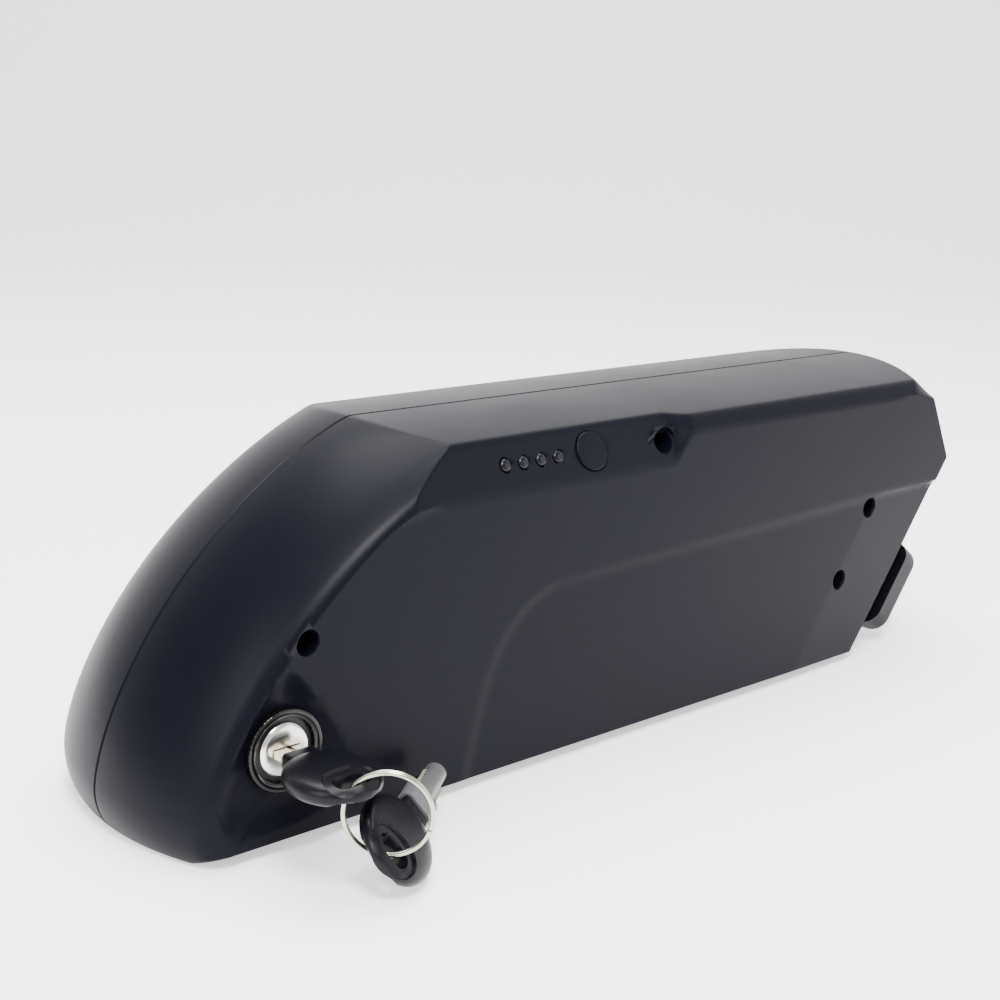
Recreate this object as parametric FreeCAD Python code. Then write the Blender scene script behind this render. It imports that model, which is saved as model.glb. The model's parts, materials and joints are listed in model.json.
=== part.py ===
import FreeCAD, Part
import math
import os

# Battery pack for the down tube of an electric bicycle: two moulded half shells
# around a block of round cells, with a charge display, a key lock that shoots a
# bolt into the mounting rail, and a plug at the back end.
# Frame, in millimetres: +Z up, the rounded nose towards -X, the lock side towards
# -Y, and the origin in the middle of the rail channel's mouth, on the underside.

V = FreeCAD.Vector

# ---- driving dimensions: the case --------------------------------------------
case_length = 369.0        # nose tip to back tip, on the centre plane
case_width = 90.0          # flat side to flat side
case_height = 113.5        # underside to the crown of the top
wall = 2.6                 # moulded wall
crown_rise = 4.5           # the top is this much higher in the middle than at its edges
side_lift = 4.0            # the bottom edges of the sides stand this far off the ground
side_lift_width = 10.0     # width of the bevel under each side
seam_gap = 0.1             # each half stops this far from the middle plane
groove_reach = 0.9         # and its half of the seal's groove runs this far into it

nose_reach = 103.7         # the nose curve's length, from the tip back
nose_over_top = 3.3        # and where it would end, over the crown of the top
nose_power = 1.556         # the nose curve is a superellipse of this power
nose_tip_z = 12.5
toe_radius = 21.5          # rounds the nose under its tip
nose_plan_radius_low = 95.0   # the nose seen from above, at the ground
nose_plan_radius_high = 70.0  # and at the top
nose_edge_radius = 12.0    # rounds the nose into the flat sides

back_tip_drop = 37.5       # the rearmost edge is this far under the crown
back_plan_radius = 72.0    # the back seen from above
back_edge_radius = 5.0
back_low_lean = 0.723      # how far the lower back face runs forward per height
back_high_run = 13.5       # the upper back face runs forward this far
back_high_rise = 25.5      # over this height
back_top_run = 12.0        # and a shorter bevel this far again, up to the top

edge_bevel_in = 4.0        # bevel along the top's long edges
edge_bevel_down = 5.5
display_bevel_in = 7.8     # deeper bevel that holds the display, lock side only
display_bevel_down = 16.3
display_bevel_lip = 0.8    # its upper edge meets the crown this much higher than the side's
display_end = 192.0        # where it stops, behind the nose tip
display_end_run = 9.0

panel_depth = 0.8          # the lower side panel lies this much deeper
panel_start = 102.5        # and starts this far behind the nose tip
panel_top = 62.5           # its upper edge, over the ground
tail_facet_depth = 2.4     # the facet at the lower back corner, at its deepest
tail_facet_run = 45.0      # which it reaches over this run
tail_facet_foot = 104.5    # the facet starts this far before the back tip, at the ground
tail_facet_head = 62.0     # and this far before it at the ledge
tail_ledge_drop = 9.5      # the facet ends in a ledge, under the rearmost edge
ground_land = 0.03         # the underside is planed off by this much, so that it stands flat

# ---- driving dimensions: what the case holds ----------------------------------
rail_mouth = 28.0          # the rail channel under the case
rail_inside = 37.0
rail_lip = 3.0
rail_depth = 8.5
rail_front = 26.5          # the channel starts this far behind the nose tip, and is open at the back

cell_diameter = 18.3
cell_length = 65.0
cell_pitch = 20.2
cell_columns = 10
cell_rows = 4
cell_first = 80.5          # the first cells' axis, behind the nose tip
cell_first_z = 22.7
holder_thickness = 9.0
holder_rim = 1.2           # plastic outside the outer cells
strip_thickness = 0.3
strip_width = 8.0
sheet_thickness = 0.5
foam_length = 40.0
foam_width = 8.0
foam_reach = 30.0          # the lower pads' distance from the middle plane

board_length = 96.0        # the protection board
board_width = 54.0
board_thickness = 1.6
board_overhang = 29.85     # how far it runs past the cell block
board_rise = 2.2           # gap under it
transistor_count = 6
transistor_pitch = 12.0
header_length = 34.0
lead_radius = 1.9
lead_bend = 9.0
fuse_long = 12.0           # the fuse holder, along the case
fuse_wide = 16.0
fuse_high = 10.0

screw_recess_diameter = 7.2
screw_head_diameter = 5.6
screw_head_height = 2.4
screw_shank_diameter = 3.0
screw_length = 16.0
boss_wall = 1.4
boss_seat_y = -9.0         # the screw heads seat here
boss_seat_thickness = 3.0

lock_back = 36.5           # the lock's axis, behind the nose tip
lock_z = 31.0
lock_pocket_depth = 3.0
lock_body_diameter = 19.4
lock_body_length = 29.0
lock_bezel_diameter = 24.8
lock_bezel_thickness = 3.0
lock_plug_diameter = 16.2
lock_running_gap = 0.05
lock_turn = 90.0
bolt_diameter = 7.0
bolt_travel = 7.0
bolt_head_drop = 9.0       # the bolt's slotted head reaches this far under the plug's axis
bolt_head_clearance = 2.0  # left under the head when the bolt is out
key_blade_width = 8.6
key_blade_thickness = 2.2
key_blade_out = 5.5        # blade showing between the plug and the bow
key_bow_width = 26.5
key_bow_length = 30.0
key_bow_thickness = 8.0
key_slot_length = 11.0
key_slot_width = 6.0
ring_radius = 12.0
ring_wire = 1.3

display_back = 129.5       # middle of the four lenses, behind the nose tip
display_down = 8.6         # down the deeper bevel, from its upper edge
lens_diameter = 4.2
lens_pitch = 7.3
lens_count = 4
button_back = 25.3         # the button's axis, behind the lenses' middle
button_diameter = 13.0
button_gap = 0.25
button_proud = 0.9
button_travel = 1.2

charge_back = 56.5         # the inlet's axis, behind the nose tip
charge_z = 26.0
charge_bore = 5.6
charge_pin = 2.0
charge_barrel = 11.0
charge_flange = 17.0
charge_depth = 12.0

tail_plug_width = 78.0     # the plug block on the lower back face
tail_plug_out = 10.0       # how far it stands out
tail_plug_length = 37.0    # along the face
socket_width = 50.0
socket_height = 14.0
blade_count = 5
blade_pitch = 9.6
tail_plug_along = 30.0     # the block's middle, up the face from the underside

fit_gap = 0.3              # between pieces that don't fit into each other
slip_gap = 0.15            # between pieces that are slid together

half_width = case_width / 2
half_length = case_length / 2
edge_z = case_height - crown_rise
nose_rise = case_height - nose_tip_z + nose_over_top
back_tip_z = case_height - back_tip_drop
tail_ledge_z = back_tip_z - tail_ledge_drop
display_end_x = display_end - half_length
rail_front_x = rail_front - half_length
cell_first_x = cell_first - half_length
lock_x = lock_back - half_length
display_x = display_back - half_length
button_x = display_x + button_back
charge_x = charge_back - half_length
lock_face_y = -half_width + lock_pocket_depth
lock_rear_y = lock_face_y + lock_body_length + 1.0
bolt_y = lock_rear_y + 5.6
NODES = {}


# ---- helpers ------------------------------------------------------------------
def box(low, high):
    """A block from its low corner to its high corner."""
    size = [b - a for a, b in zip(low, high)]
    return Part.makeBox(size[0], size[1], size[2], V(*low))


def rod(radius, start, end):
    """A round rod from start to end."""
    line = V(*end) - V(*start)
    return Part.makeCylinder(radius, line.Length, V(*start), line)


def tube(outer, inner, start, end):
    """A round tube from start to end."""
    return rod(outer, start, end).cut(rod(inner, start, end))


def prism(points, push):
    """A flat outline of straight edges, pushed along a vector."""
    corners = [V(*p) for p in points]
    return Part.Face(Part.makePolygon(corners + corners[:1])).extrude(V(*push))


def side_prism(outline, y_low, y_high):
    """An outline of (x, z) points, pushed across the case."""
    return prism([(x, y_low, z) for x, z in outline], (0, y_high - y_low, 0))


def stadium(length, width, thickness):
    """A flat slot shape about the origin, long in X, with its thickness along Z."""
    reach = (length - width) / 2
    shape = box((-reach, -width / 2, -thickness / 2), (reach, width / 2, thickness / 2))
    for side in (-reach, reach):
        shape = shape.fuse(rod(width / 2, (side, 0, -thickness / 2), (side, 0, thickness / 2)))
    return shape.removeSplitter()


def place(shape, origin, x_axis, z_axis):
    """Moves a shape's own axes to the given origin, X direction and Z direction."""
    z_way = V(*z_axis).normalize()
    y_way = z_way.cross(V(*x_axis)).normalize()
    x_way = y_way.cross(z_way)
    columns = [x_way.x, y_way.x, z_way.x, origin[0],
               x_way.y, y_way.y, z_way.y, origin[1],
               x_way.z, y_way.z, z_way.z, origin[2],
               0, 0, 0, 1]
    moved = shape.copy()
    moved.transformShape(FreeCAD.Matrix(*columns))
    return moved


def fuse_all(shapes):
    """One solid from overlapping shapes."""
    return shapes[0].multiFuse(shapes[1:]).removeSplitter()


def add_node(name, shapes):
    """Files one solid, or a group of separate solids, under a node's name."""
    items = shapes if isinstance(shapes, list) else [shapes]
    solids = [solid for item in items for solid in item.Solids]
    NODES[name] = solids[0] if len(solids) == 1 else Part.makeCompound(solids)


# ---- the case's outer form -----------------------------------------------------
def round_back(radius, edge, reach):
    """How far an arc falls back at a distance from the middle, with its corner
    rounded into the flat side."""
    side = half_width
    tangent = (side - edge) * radius / (radius - edge)
    if reach <= tangent:
        return radius - math.sqrt(radius ** 2 - reach ** 2)
    corner = radius - math.sqrt((radius - edge) ** 2 - (side - edge) ** 2)
    across = min(reach - (side - edge), edge)
    return corner - math.sqrt(max(edge ** 2 - across ** 2, 0.0))


def nose_back(y, z):
    """How far the nose falls back at a point off the centre plane."""
    share = min(max(z / case_height, 0.0), 1.0)
    radius = nose_plan_radius_low + share * (nose_plan_radius_high - nose_plan_radius_low)
    return round_back(radius, nose_edge_radius, abs(y))


def back_in(y):
    """How far the back falls in at a point off the centre plane."""
    return round_back(back_plan_radius, back_edge_radius, abs(y))


def top_z(y, inset=0.0):
    """Height of the crowned top."""
    flat_half = half_width - edge_bevel_in
    return case_height - crown_rise * (min(abs(y), flat_half) / flat_half) ** 2 - inset


def bottom_z(y, inset=0.0):
    """Height of the underside, which is bevelled under each side."""
    outside = abs(y) - (half_width - side_lift_width)
    return side_lift * max(outside, 0.0) / side_lift_width + inset


def nose_points(y, inset, count=11):
    """The nose's curve at one distance from the centre plane, bottom to top."""
    centre_x = -half_length + nose_reach
    reach = nose_reach - inset
    rise = nose_rise - inset
    points = []
    low = bottom_z(y, inset)
    radius = toe_radius - inset
    toe_x = -half_length + inset + radius
    for i in range(3):
        z = low + (nose_tip_z - low) * i / 3.0
        x = toe_x - math.sqrt(radius ** 2 - (nose_tip_z - z) ** 2)
        points.append((x, z))
    high = top_z(y, inset)
    limit = math.asin(min((high - nose_tip_z) / rise, 0.999) ** (nose_power / 2))
    for i in range(count):
        angle = limit * i / (count - 1.0)
        x = centre_x - reach * math.cos(angle) ** (2 / nose_power)
        z = nose_tip_z + rise * math.sin(angle) ** (2 / nose_power)
        points.append((x, z))
    return [V(x + nose_back(y, z), y, z) for x, z in points]


def back_points(y, inset):
    """The back's corners at one distance from the centre plane, top to bottom."""
    high = top_z(y, inset)
    low = bottom_z(y, inset)
    tip_x = half_length - inset * 1.15
    bevel_z = back_tip_z + back_high_rise - inset * 0.45
    corners = [(tip_x - back_high_run - back_top_run, high),
               (tip_x - back_high_run, bevel_z),
               (tip_x, back_tip_z - inset * 0.1),
               (tip_x - back_low_lean * (back_tip_z - low), low)]
    return [V(x - back_in(y), y, z) for x, z in corners]


def outline(y, inset):
    """The closed outline of the case at one distance from the centre plane."""
    nose = nose_points(y, inset)
    back = back_points(y, inset)
    curve = Part.BSplineCurve()
    curve.interpolate(nose)
    edges = [curve.toShape(), Part.makeLine(nose[-1], back[0])]
    edges += [Part.makeLine(a, b) for a, b in zip(back, back[1:])]
    edges.append(Part.makeLine(back[-1], nose[0]))
    return Part.Wire(edges)


def form(inset, half):
    """The case's form, taken in by a wall all round and cut off at half its width."""
    bevel = (half_width - side_lift_width) / half_width
    shares = [0.0, 0.3, 0.58, bevel, 0.86, 0.92, 0.965, 0.99, 1.0]
    places = [-s * half for s in reversed(shares)] + [s * half for s in shares[1:]]
    return Part.makeLoft([outline(y, inset) for y in places], True, True)


def display_bevel_tool(inset):
    """What is cut off the lock side's top edge to make room for the display."""
    side = -half_width
    end_x = display_end_x - inset
    low_z = edge_z - display_bevel_down + display_bevel_lip
    thick = inset * math.hypot(display_bevel_in, display_bevel_down) / display_bevel_down
    slope = display_bevel_in / display_bevel_down
    over = 12.0
    edge = [(side - over * slope, low_z - over), (side - 30, low_z - over), (side - 30, edge_z + 30),
            (side + display_bevel_in + 30 * slope, low_z + display_bevel_down + 30)]
    shifted = [(y + (thick if y > side - 20 else 0), z) for y, z in edge]
    tool = prism([(-half_length - 5, y, z) for y, z in shifted], (half_length + 5 + end_x, 0, 0))
    ramp = prism([(end_x, y, z) for y, z in shifted], (display_end_run, 0, 0))
    trim = prism([(end_x, side + display_bevel_in + 8, edge_z - 60),
                  (end_x + display_end_run, side + display_bevel_in + 8, edge_z - 60),
                  (end_x + display_end_run, side - 2, edge_z - 60)], (0, 0, 120))
    return tool.fuse(ramp.cut(trim))


def edge_bevel_tool(side, inset):
    """What is cut off one long top edge, side being -1 or 1."""
    slope = edge_bevel_in / edge_bevel_down
    low_y = side * (half_width - inset * math.hypot(edge_bevel_in, edge_bevel_down) / edge_bevel_down)
    low_z = edge_z - edge_bevel_down
    corners = [(low_y + side * 6 * slope, low_z - 6), (side * (half_width + 30), low_z - 6),
               (side * (half_width + 30), low_z + 40), (low_y - side * 40 * slope, low_z + 40)]
    return prism([(-half_length - 5, y, z) for y, z in corners], (case_length + 10, 0, 0))


def body_form(inset):
    """The form with its top edges bevelled."""
    shape = form(inset, half_width - inset)
    return shape.cut([edge_bevel_tool(-1, inset), edge_bevel_tool(1, inset), display_bevel_tool(inset)])


# ---- places that several pieces share ------------------------------------------
def bevel_point(x, down, out):
    """A point on the display bevel: down from its upper edge, and out from its face."""
    length = math.hypot(display_bevel_in, display_bevel_down)
    across = display_bevel_in / length
    along = display_bevel_down / length
    upper_y = -half_width + display_bevel_in
    upper_z = edge_z + display_bevel_lip
    return (x, upper_y - down * across - out * along, upper_z - down * along + out * across)


def bevel_out():
    """The display bevel's outward direction."""
    origin = bevel_point(0, 0, 0)
    tip = bevel_point(0, 0, 1)
    return tuple(b - a for a, b in zip(origin, tip))


def back_face_point(along, out, y=0.0):
    """A point by the lower back face: along it from the underside, and out from it."""
    length = math.hypot(back_low_lean, 1.0)
    foot_x = half_length - back_low_lean * back_tip_z
    x = foot_x + along * back_low_lean / length + out / length
    z = along / length - out * back_low_lean / length
    return (x, y, z)


BACK_OUT = tuple(b - a for a, b in zip(back_face_point(0, 0), back_face_point(0, 1)))
BACK_UP = tuple(b - a for a, b in zip(back_face_point(0, 0), back_face_point(1, 0)))
SCREW_PLACES = [(43.9 - half_length, 61.3), (display_end_x - 4.6, edge_z - 7.6), (half_length - 64.8, 61.9),
                (half_length - 80.0, 35.4)]
CELL_PLACES = [[(cell_first_x + column * cell_pitch, cell_first_z + row * cell_pitch)
                for column in range(cell_columns)] for row in range(cell_rows)]
BLOCK_LOW_X = cell_first_x - cell_diameter / 2 - holder_rim
BLOCK_HIGH_X = cell_first_x + (cell_columns - 1) * cell_pitch + cell_diameter / 2 + holder_rim
BLOCK_LOW_Z = cell_first_z - cell_diameter / 2 - holder_rim
BLOCK_HIGH_Z = cell_first_z + (cell_rows - 1) * cell_pitch + cell_diameter / 2 + holder_rim
HOLDER_OUT = cell_length / 2 + 1.0
FLOOR_Z = rail_depth + wall
BOARD_HIGH_X = BLOCK_HIGH_X + board_overhang
BOARD_LOW_X = BOARD_HIGH_X - board_length
BOARD_Z = BLOCK_HIGH_Z + board_rise


# ---- the two shells and their seam ---------------------------------------------
def rail_space(grow):
    """The T-shaped channel for the mounting rail, or the wall round it."""
    end = half_length
    front = rail_front_x - grow
    mouth = box((front, -rail_mouth / 2 - grow, -1), (end, rail_mouth / 2 + grow, rail_lip + grow))
    inside = box((front, -rail_inside / 2 - grow, rail_lip - grow if grow else rail_lip),
                 (end, rail_inside / 2 + grow, rail_depth + grow))
    return mouth.fuse(inside)


def panel_tool(side):
    """The shallow lower panel on one side, with a round front corner."""
    outer = side * (half_width + 5)
    inner = side * (half_width - panel_depth)
    front_x = panel_start - half_length
    back_x = half_length - tail_facet_head
    front = [(front_x + 44, panel_top), (front_x + 27, panel_top - 5), (front_x + 17, panel_top - 12.5),
             (front_x + 7, panel_top - 30.5)]
    back = [(half_length, -5), (half_length, tail_ledge_z), (back_x - 4, tail_ledge_z),
            (back_x - 12, panel_top + 2)]
    corners = [(front_x, -5)] + back + front
    return side_prism(corners, min(outer, inner), max(outer, inner))


def tail_facet_tool(side, inset=0.0):
    """The wedge cut off one side at its lower back corner."""
    face_y = side * (half_width - panel_depth - inset)
    foot = V(half_length - tail_facet_foot, face_y, side_lift)
    head = V(half_length - tail_facet_head, face_y, tail_ledge_z)
    up = (head - foot).normalize()
    back = V(up.z, 0, -up.x)
    inward = V(0, -side, 0)
    lean = math.atan(tail_facet_depth / tail_facet_run)
    slope = back * math.cos(lean) + inward * math.sin(lean)
    start = foot - up * 20
    corners = [start, start + slope * 110, start + slope * 110 - inward * 30, start - inward * 30]
    tool = prism([tuple(c) for c in corners], tuple(up * 130))
    return tool.common(box((-half_length, -80, -10), (half_length + 20, 80, tail_ledge_z + inset)))


def lock_tool():
    """The flared pocket and the hole for the lock."""
    mouth = Part.makeCone(21.0, 13.4, 3.4, V(lock_x + 1, -half_width - 0.4, lock_z), V(0, 1, 0))
    flare = Part.makeCone(15.0, 8.0, 3.4, V(lock_x + 5, -half_width - 0.4, lock_z + 17), V(0, 1, 0))
    hole = rod(lock_body_diameter / 2 + slip_gap, (lock_x, -half_width - 1, lock_z), (lock_x, -20, lock_z))
    slot = box((lock_x - 6, -half_width - 1, 13.4), (lock_x + 5, -30, 15.0))
    return fuse_all([mouth, flare, hole]), slot


def screw_boss(place_xz):
    """The lock side's tube for one case screw, open to the outside."""
    x, z = place_xz
    outer = screw_recess_diameter / 2 + boss_wall
    start = -half_width + wall * 0.5
    return rod(outer, (x, start, z), (x, boss_seat_y + boss_seat_thickness, z))


def screw_bore(place_xz):
    """The stepped hole down one case screw's tube."""
    x, z = place_xz
    recess = rod(screw_recess_diameter / 2, (x, -half_width - 5, z), (x, boss_seat_y, z))
    through = rod(screw_shank_diameter / 2 + fit_gap, (x, boss_seat_y - 1, z), (x, boss_seat_y + 6, z))
    return recess.fuse(through)


def screw_socket(place_xz):
    """The far side's post that one case screw bites into."""
    x, z = place_xz
    start = boss_seat_y + boss_seat_thickness + 0.2
    post = rod(screw_recess_diameter / 2 + boss_wall - 0.4, (x, start, z), (x, half_width - wall * 0.5, z))
    pilot = rod(screw_shank_diameter / 2 + slip_gap, (x, start - 1, z), (x, start + screw_length, z))
    return post.cut(pilot)


def make_shells():
    """Both half shells and the seal in the groove between them."""
    outer = body_form(0.0)
    inner = body_form(wall).cut([tail_facet_tool(-1, wall), tail_facet_tool(1, wall)])
    rail_wall = rail_space(wall).common(body_form(0.6))
    shell = outer.cut(inner).fuse(rail_wall)
    pocket, slot = lock_tool()
    pad = rod(24.0, (lock_x + 1, -half_width + 0.8, lock_z), (lock_x + 1, -half_width + 5.6, lock_z))
    flare_x = lock_x + 5
    flare_z = lock_z + 17
    flare_pad = rod(13.0, (flare_x, -half_width + 0.8, flare_z), (flare_x, -half_width + 5.6, flare_z))
    collar_y = -half_width + 12
    collar = tube(lock_body_diameter / 2 + 2.6, lock_body_diameter / 2, (lock_x, -half_width + 2, lock_z),
                  (lock_x, collar_y, lock_z))
    guide_top = lock_z - bolt_head_drop - bolt_travel - bolt_head_clearance
    guide = box((lock_x - 8, bolt_y - 5.6, FLOOR_Z - 1), (lock_x + 8, bolt_y + 4.9, guide_top))
    pads = fuse_all([pad, flare_pad, collar]).common(outer)
    shell = shell.fuse([pads, guide])
    tools = [rail_space(0.0), pocket, slot, bolt_hole(), socket_hole(), charge_hole()]
    tools += [panel_tool(-1), panel_tool(1), tail_facet_tool(-1), tail_facet_tool(1)]
    tools.append(box((-case_length, -case_width, -50), (case_length, case_width, ground_land)))
    shell = shell.cut(tools)
    ends = case_length
    near = shell.common(box((-ends, -case_width, -50), (ends, -seam_gap, 2 * case_height)))
    far = shell.common(box((-ends, seam_gap, -50), (ends, case_width, 2 * case_height)))
    inside = body_form(0.5)
    near = near.fuse([screw_boss(p).common(inside) for p in SCREW_PLACES])
    near = near.cut([screw_bore(p) for p in SCREW_PLACES] + display_tools())
    far = far.fuse([screw_socket(p).common(inside) for p in SCREW_PLACES])
    seam_low = body_form(wall * 0.25)
    seam_high = body_form(wall * 0.75)
    band = box((-ends, -groove_reach, -50), (ends, groove_reach, 2 * case_height))
    seal_reach = groove_reach - 0.2
    keep = box((-ends, -seal_reach, -50), (ends, seal_reach, 2 * case_height))
    groove = seam_low.cut(seam_high).common(band)
    blocks = [rail_space(wall + 1), socket_hole()]
    gasket = body_form(wall * 0.32).cut(body_form(wall * 0.68)).common(keep).cut(blocks)
    add_node("lock_side_shell", biggest(near.cut(groove)))
    add_node("far_side_shell", biggest(far.cut(groove)))
    add_node("seam_gasket", biggest(gasket))


def biggest(shape):
    """The largest solid of a shape."""
    solid = max(shape.Solids, key=lambda s: s.Volume)
    return solid


def make_case_screws():
    """Four self-tapping screws, from the lock side into the far side's posts."""
    screws = []
    for x, z in SCREW_PLACES:
        head = rod(screw_head_diameter / 2, (x, boss_seat_y - screw_head_height, z), (x, boss_seat_y, z))
        rim = [e for e in head.Edges if e.Length > 5 and e.Vertexes[0].Y < boss_seat_y - 1]
        head = head.makeChamfer(0.5, rim)
        cross = box((x - 1.6, -100, z - 0.35), (x + 1.6, boss_seat_y - 1.2, z + 0.35))
        cross = cross.fuse(box((x - 0.35, -100, z - 1.6), (x + 0.35, boss_seat_y - 1.2, z + 1.6)))
        shank = rod(screw_shank_diameter / 2, (x, boss_seat_y, z), (x, boss_seat_y + screw_length, z))
        screws.append(head.cut(cross).fuse(shank))
    add_node("case_screws", screws)


# ---- the cell block --------------------------------------------------------------
def make_cells():
    """Rows of cells lying across the case, every other one turned round."""
    for row, places in enumerate(CELL_PLACES):
        cells = []
        for column, (x, z) in enumerate(places):
            way = 1 if (row + column) % 2 else -1
            body = rod(cell_diameter / 2, (x, -cell_length / 2, z), (x, cell_length / 2, z))
            body = body.makeFillet(0.8, [e for e in body.Edges if e.Length > 20])
            tip = rod(3.6, (x, way * (cell_length / 2 - 1), z), (x, way * (cell_length / 2 + 0.6), z))
            cells.append(body.fuse(tip))
        add_node("cell_row_%d" % (row + 1), cells)


def make_holders():
    """A perforated plate on each end of the cells, with the strips and sheet on it."""
    for side, name in ((-1, "lock_side"), (1, "far_side")):
        inner = side * (HOLDER_OUT - holder_thickness)
        outer = side * HOLDER_OUT
        low_y = min(inner, outer)
        high_y = max(inner, outer)
        plate = box((BLOCK_LOW_X, low_y, BLOCK_LOW_Z), (BLOCK_HIGH_X, high_y, BLOCK_HIGH_Z))
        plate = plate.makeFillet(8.0, [e for e in plate.Edges if abs(e.Length - holder_thickness) < 1e-6])
        seat = side * (cell_length / 2 + fit_gap)
        holes = []
        for x, z in sum(CELL_PLACES, []):
            holes.append(rod(cell_diameter / 2 + slip_gap, (x, inner - side, z), (x, seat, z)))
            holes.append(rod(6.4, (x, inner - side, z), (x, outer + side, z)))
        add_node("cell_holder_" + name, plate.cut(holes))
        strips = []
        first = 0 if side < 0 else 1
        strip_low = outer + side * 0.05
        strip_high = strip_low + side * strip_thickness
        for column in range(first, cell_columns, 2):
            x = cell_first_x + column * cell_pitch
            reach = cell_pitch if column + 1 < cell_columns else 0
            strips.append(box((x - strip_width / 2, min(strip_low, strip_high), BLOCK_LOW_Z + 5),
                              (x + reach + strip_width / 2, max(strip_low, strip_high), BLOCK_HIGH_Z - 5)))
        add_node("nickel_strips_" + name, strips)
        sheet_low = strip_high + side * 0.1
        sheet_high = sheet_low + side * sheet_thickness
        add_node("insulation_sheet_" + name,
                 box((BLOCK_LOW_X + 2, min(sheet_low, sheet_high), BLOCK_LOW_Z + 2),
                     (BLOCK_HIGH_X - 2, max(sheet_low, sheet_high), BLOCK_HIGH_Z - 2)))


def make_foam():
    """Foam that wedges the cell block in the case."""
    low = FLOOR_Z + fit_gap
    high = BLOCK_LOW_Z - 0.1
    near_y = foam_reach - foam_width / 2
    ends = (BLOCK_LOW_X + 10, BLOCK_HIGH_X - foam_length - 10)
    under = [box((x, y, low), (x + foam_length, y + foam_width, high))
             for x in ends for y in (near_y, -near_y - foam_width)]
    middle_z = (BLOCK_LOW_Z + BLOCK_HIGH_Z) / 2 + 20
    front = box((BLOCK_LOW_X - foam_width, -20, middle_z - 14), (BLOCK_LOW_X - 0.2, 28, middle_z + 14))
    add_node("foam_pads", under + [front])


def make_control_board():
    """The protection board on top of the cell block, with what stands on it."""
    half = board_width / 2
    top = BOARD_Z + board_thickness
    board = box((BOARD_LOW_X, -half, BOARD_Z), (BOARD_HIGH_X, half, top))
    add_node("control_board", board)
    foot = BLOCK_HIGH_Z + 0.1
    stand = [box((x, side * (half - 5) - 2, foot), (x + 10, side * (half - 5) + 2, BOARD_Z - 0.05))
             for x in (BOARD_LOW_X + 4, BLOCK_HIGH_X - 14) for side in (-1, 1)]
    add_node("board_spacers", stand)
    first = BOARD_LOW_X + 10
    chip_places = [first + transistor_pitch * i for i in range(transistor_count)]
    chips = [box((x, -20, top + 0.05), (x + 9, -10, top + 4.0)) for x in chip_places]
    add_node("power_transistors", chips)
    sink_low = first - 2
    sink_high = first + transistor_pitch * transistor_count
    sink = box((sink_low, -21, top + 4.2), (sink_high, -6, top + 5.6))
    fin_places = [-21 + 3.4 * i for i in range(5)]
    fins = [box((sink_low, y, top + 5.4), (sink_high, y + 1.4, top + 7.6)) for y in fin_places]
    add_node("heat_sink", fuse_all([sink] + fins))
    header_low = BOARD_LOW_X + 12
    header = box((header_low, 10, top + 0.05), (header_low + header_length, 17, top + 5.0))
    cavity = box((header_low + 1.2, 11.2, top + 1.5), (header_low + header_length - 1.2, 15.8, top + 6))
    add_node("balance_header", header.cut(cavity))
    plug = box((header_low + 1.5, 11.5, top + 1.8), (header_low + header_length - 1.5, 15.5, top + 7.2))
    add_node("balance_plug", plug)


def tangent_path(points, radius):
    """Straight runs with round corners through a list of points."""
    places = [V(*p) for p in points]
    edges = []
    start = places[0]
    for before, corner, after in zip(places, places[1:], places[2:]):
        back = (before - corner).normalize()
        on = (after - corner).normalize()
        half = back.getAngle(on) / 2
        reach = radius / math.tan(half)
        entry = corner + back * reach
        leave = corner + on * reach
        middle = corner + (back + on).normalize() * (radius / math.sin(half) - radius)
        edges.append(Part.makeLine(start, entry))
        edges.append(Part.Arc(entry, middle, leave).toShape())
        start = leave
    edges.append(Part.makeLine(start, places[-1]))
    return Part.Wire(edges)


def make_leads():
    """The two thick leads from the control board back to the plug."""
    start_x = BOARD_HIGH_X + fit_gap
    start_z = BOARD_Z + board_thickness + lead_radius + fit_gap
    for name, y in (("positive_lead", blade_pitch), ("negative_lead", -blade_pitch)):
        turn = back_face_point(tail_plug_along, -26.0, y)
        foot = back_face_point(tail_plug_along, -11.6, y)
        path = tangent_path([(start_x, y, start_z), (turn[0] + 8, y, start_z), turn, foot], lead_bend)
        start = path.Edges[0].Vertexes[0].Point
        way = path.Edges[0].tangentAt(0)
        section = Part.Wire(Part.makeCircle(lead_radius, start, way))
        add_node(name, path.makePipeShell([section], True, False))


def make_fuse():
    """A blade fuse in its holder, between the cell block and the plug."""
    low = V(BLOCK_HIGH_X + 3, 14, BLOCK_HIGH_Z - 19.6)
    rim = 2.0
    holder = Part.makeBox(fuse_long, fuse_wide, fuse_high, low)
    well = Part.makeBox(fuse_long - 2 * rim, fuse_wide - 2 * rim, fuse_high, low + V(rim, rim, 4))
    add_node("fuse_holder", holder.cut(well))
    inside = rim + 0.4
    add_node("fuse", Part.makeBox(fuse_long - 2 * inside, fuse_wide - 2 * inside, fuse_high - 0.3,
                                  low + V(inside, inside, 4.3)))


# ---- the display -------------------------------------------------------------------
def lens_places():
    """Where the lenses stand along the case."""
    return [display_x + (i - (lens_count - 1) / 2.0) * lens_pitch for i in range(lens_count)]


def display_tools():
    """The holes in the display bevel for the lenses and the button."""
    tools = []
    out = bevel_out()
    for x in lens_places():
        low = bevel_point(x, display_down, -8)
        high = bevel_point(x, display_down, 4)
        tools.append(rod(lens_diameter / 2 + slip_gap, low, high))
        dish = bevel_point(x, display_down, -0.45)
        tools.append(Part.makeCone(lens_diameter / 2 + 0.2, lens_diameter / 2 + 1.3, 0.9, V(*dish), V(*out)))
    low = bevel_point(button_x, display_down, -8)
    high = bevel_point(button_x, display_down, 4)
    tools.append(rod(button_diameter / 2 + button_gap, low, high))
    return tools


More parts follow.
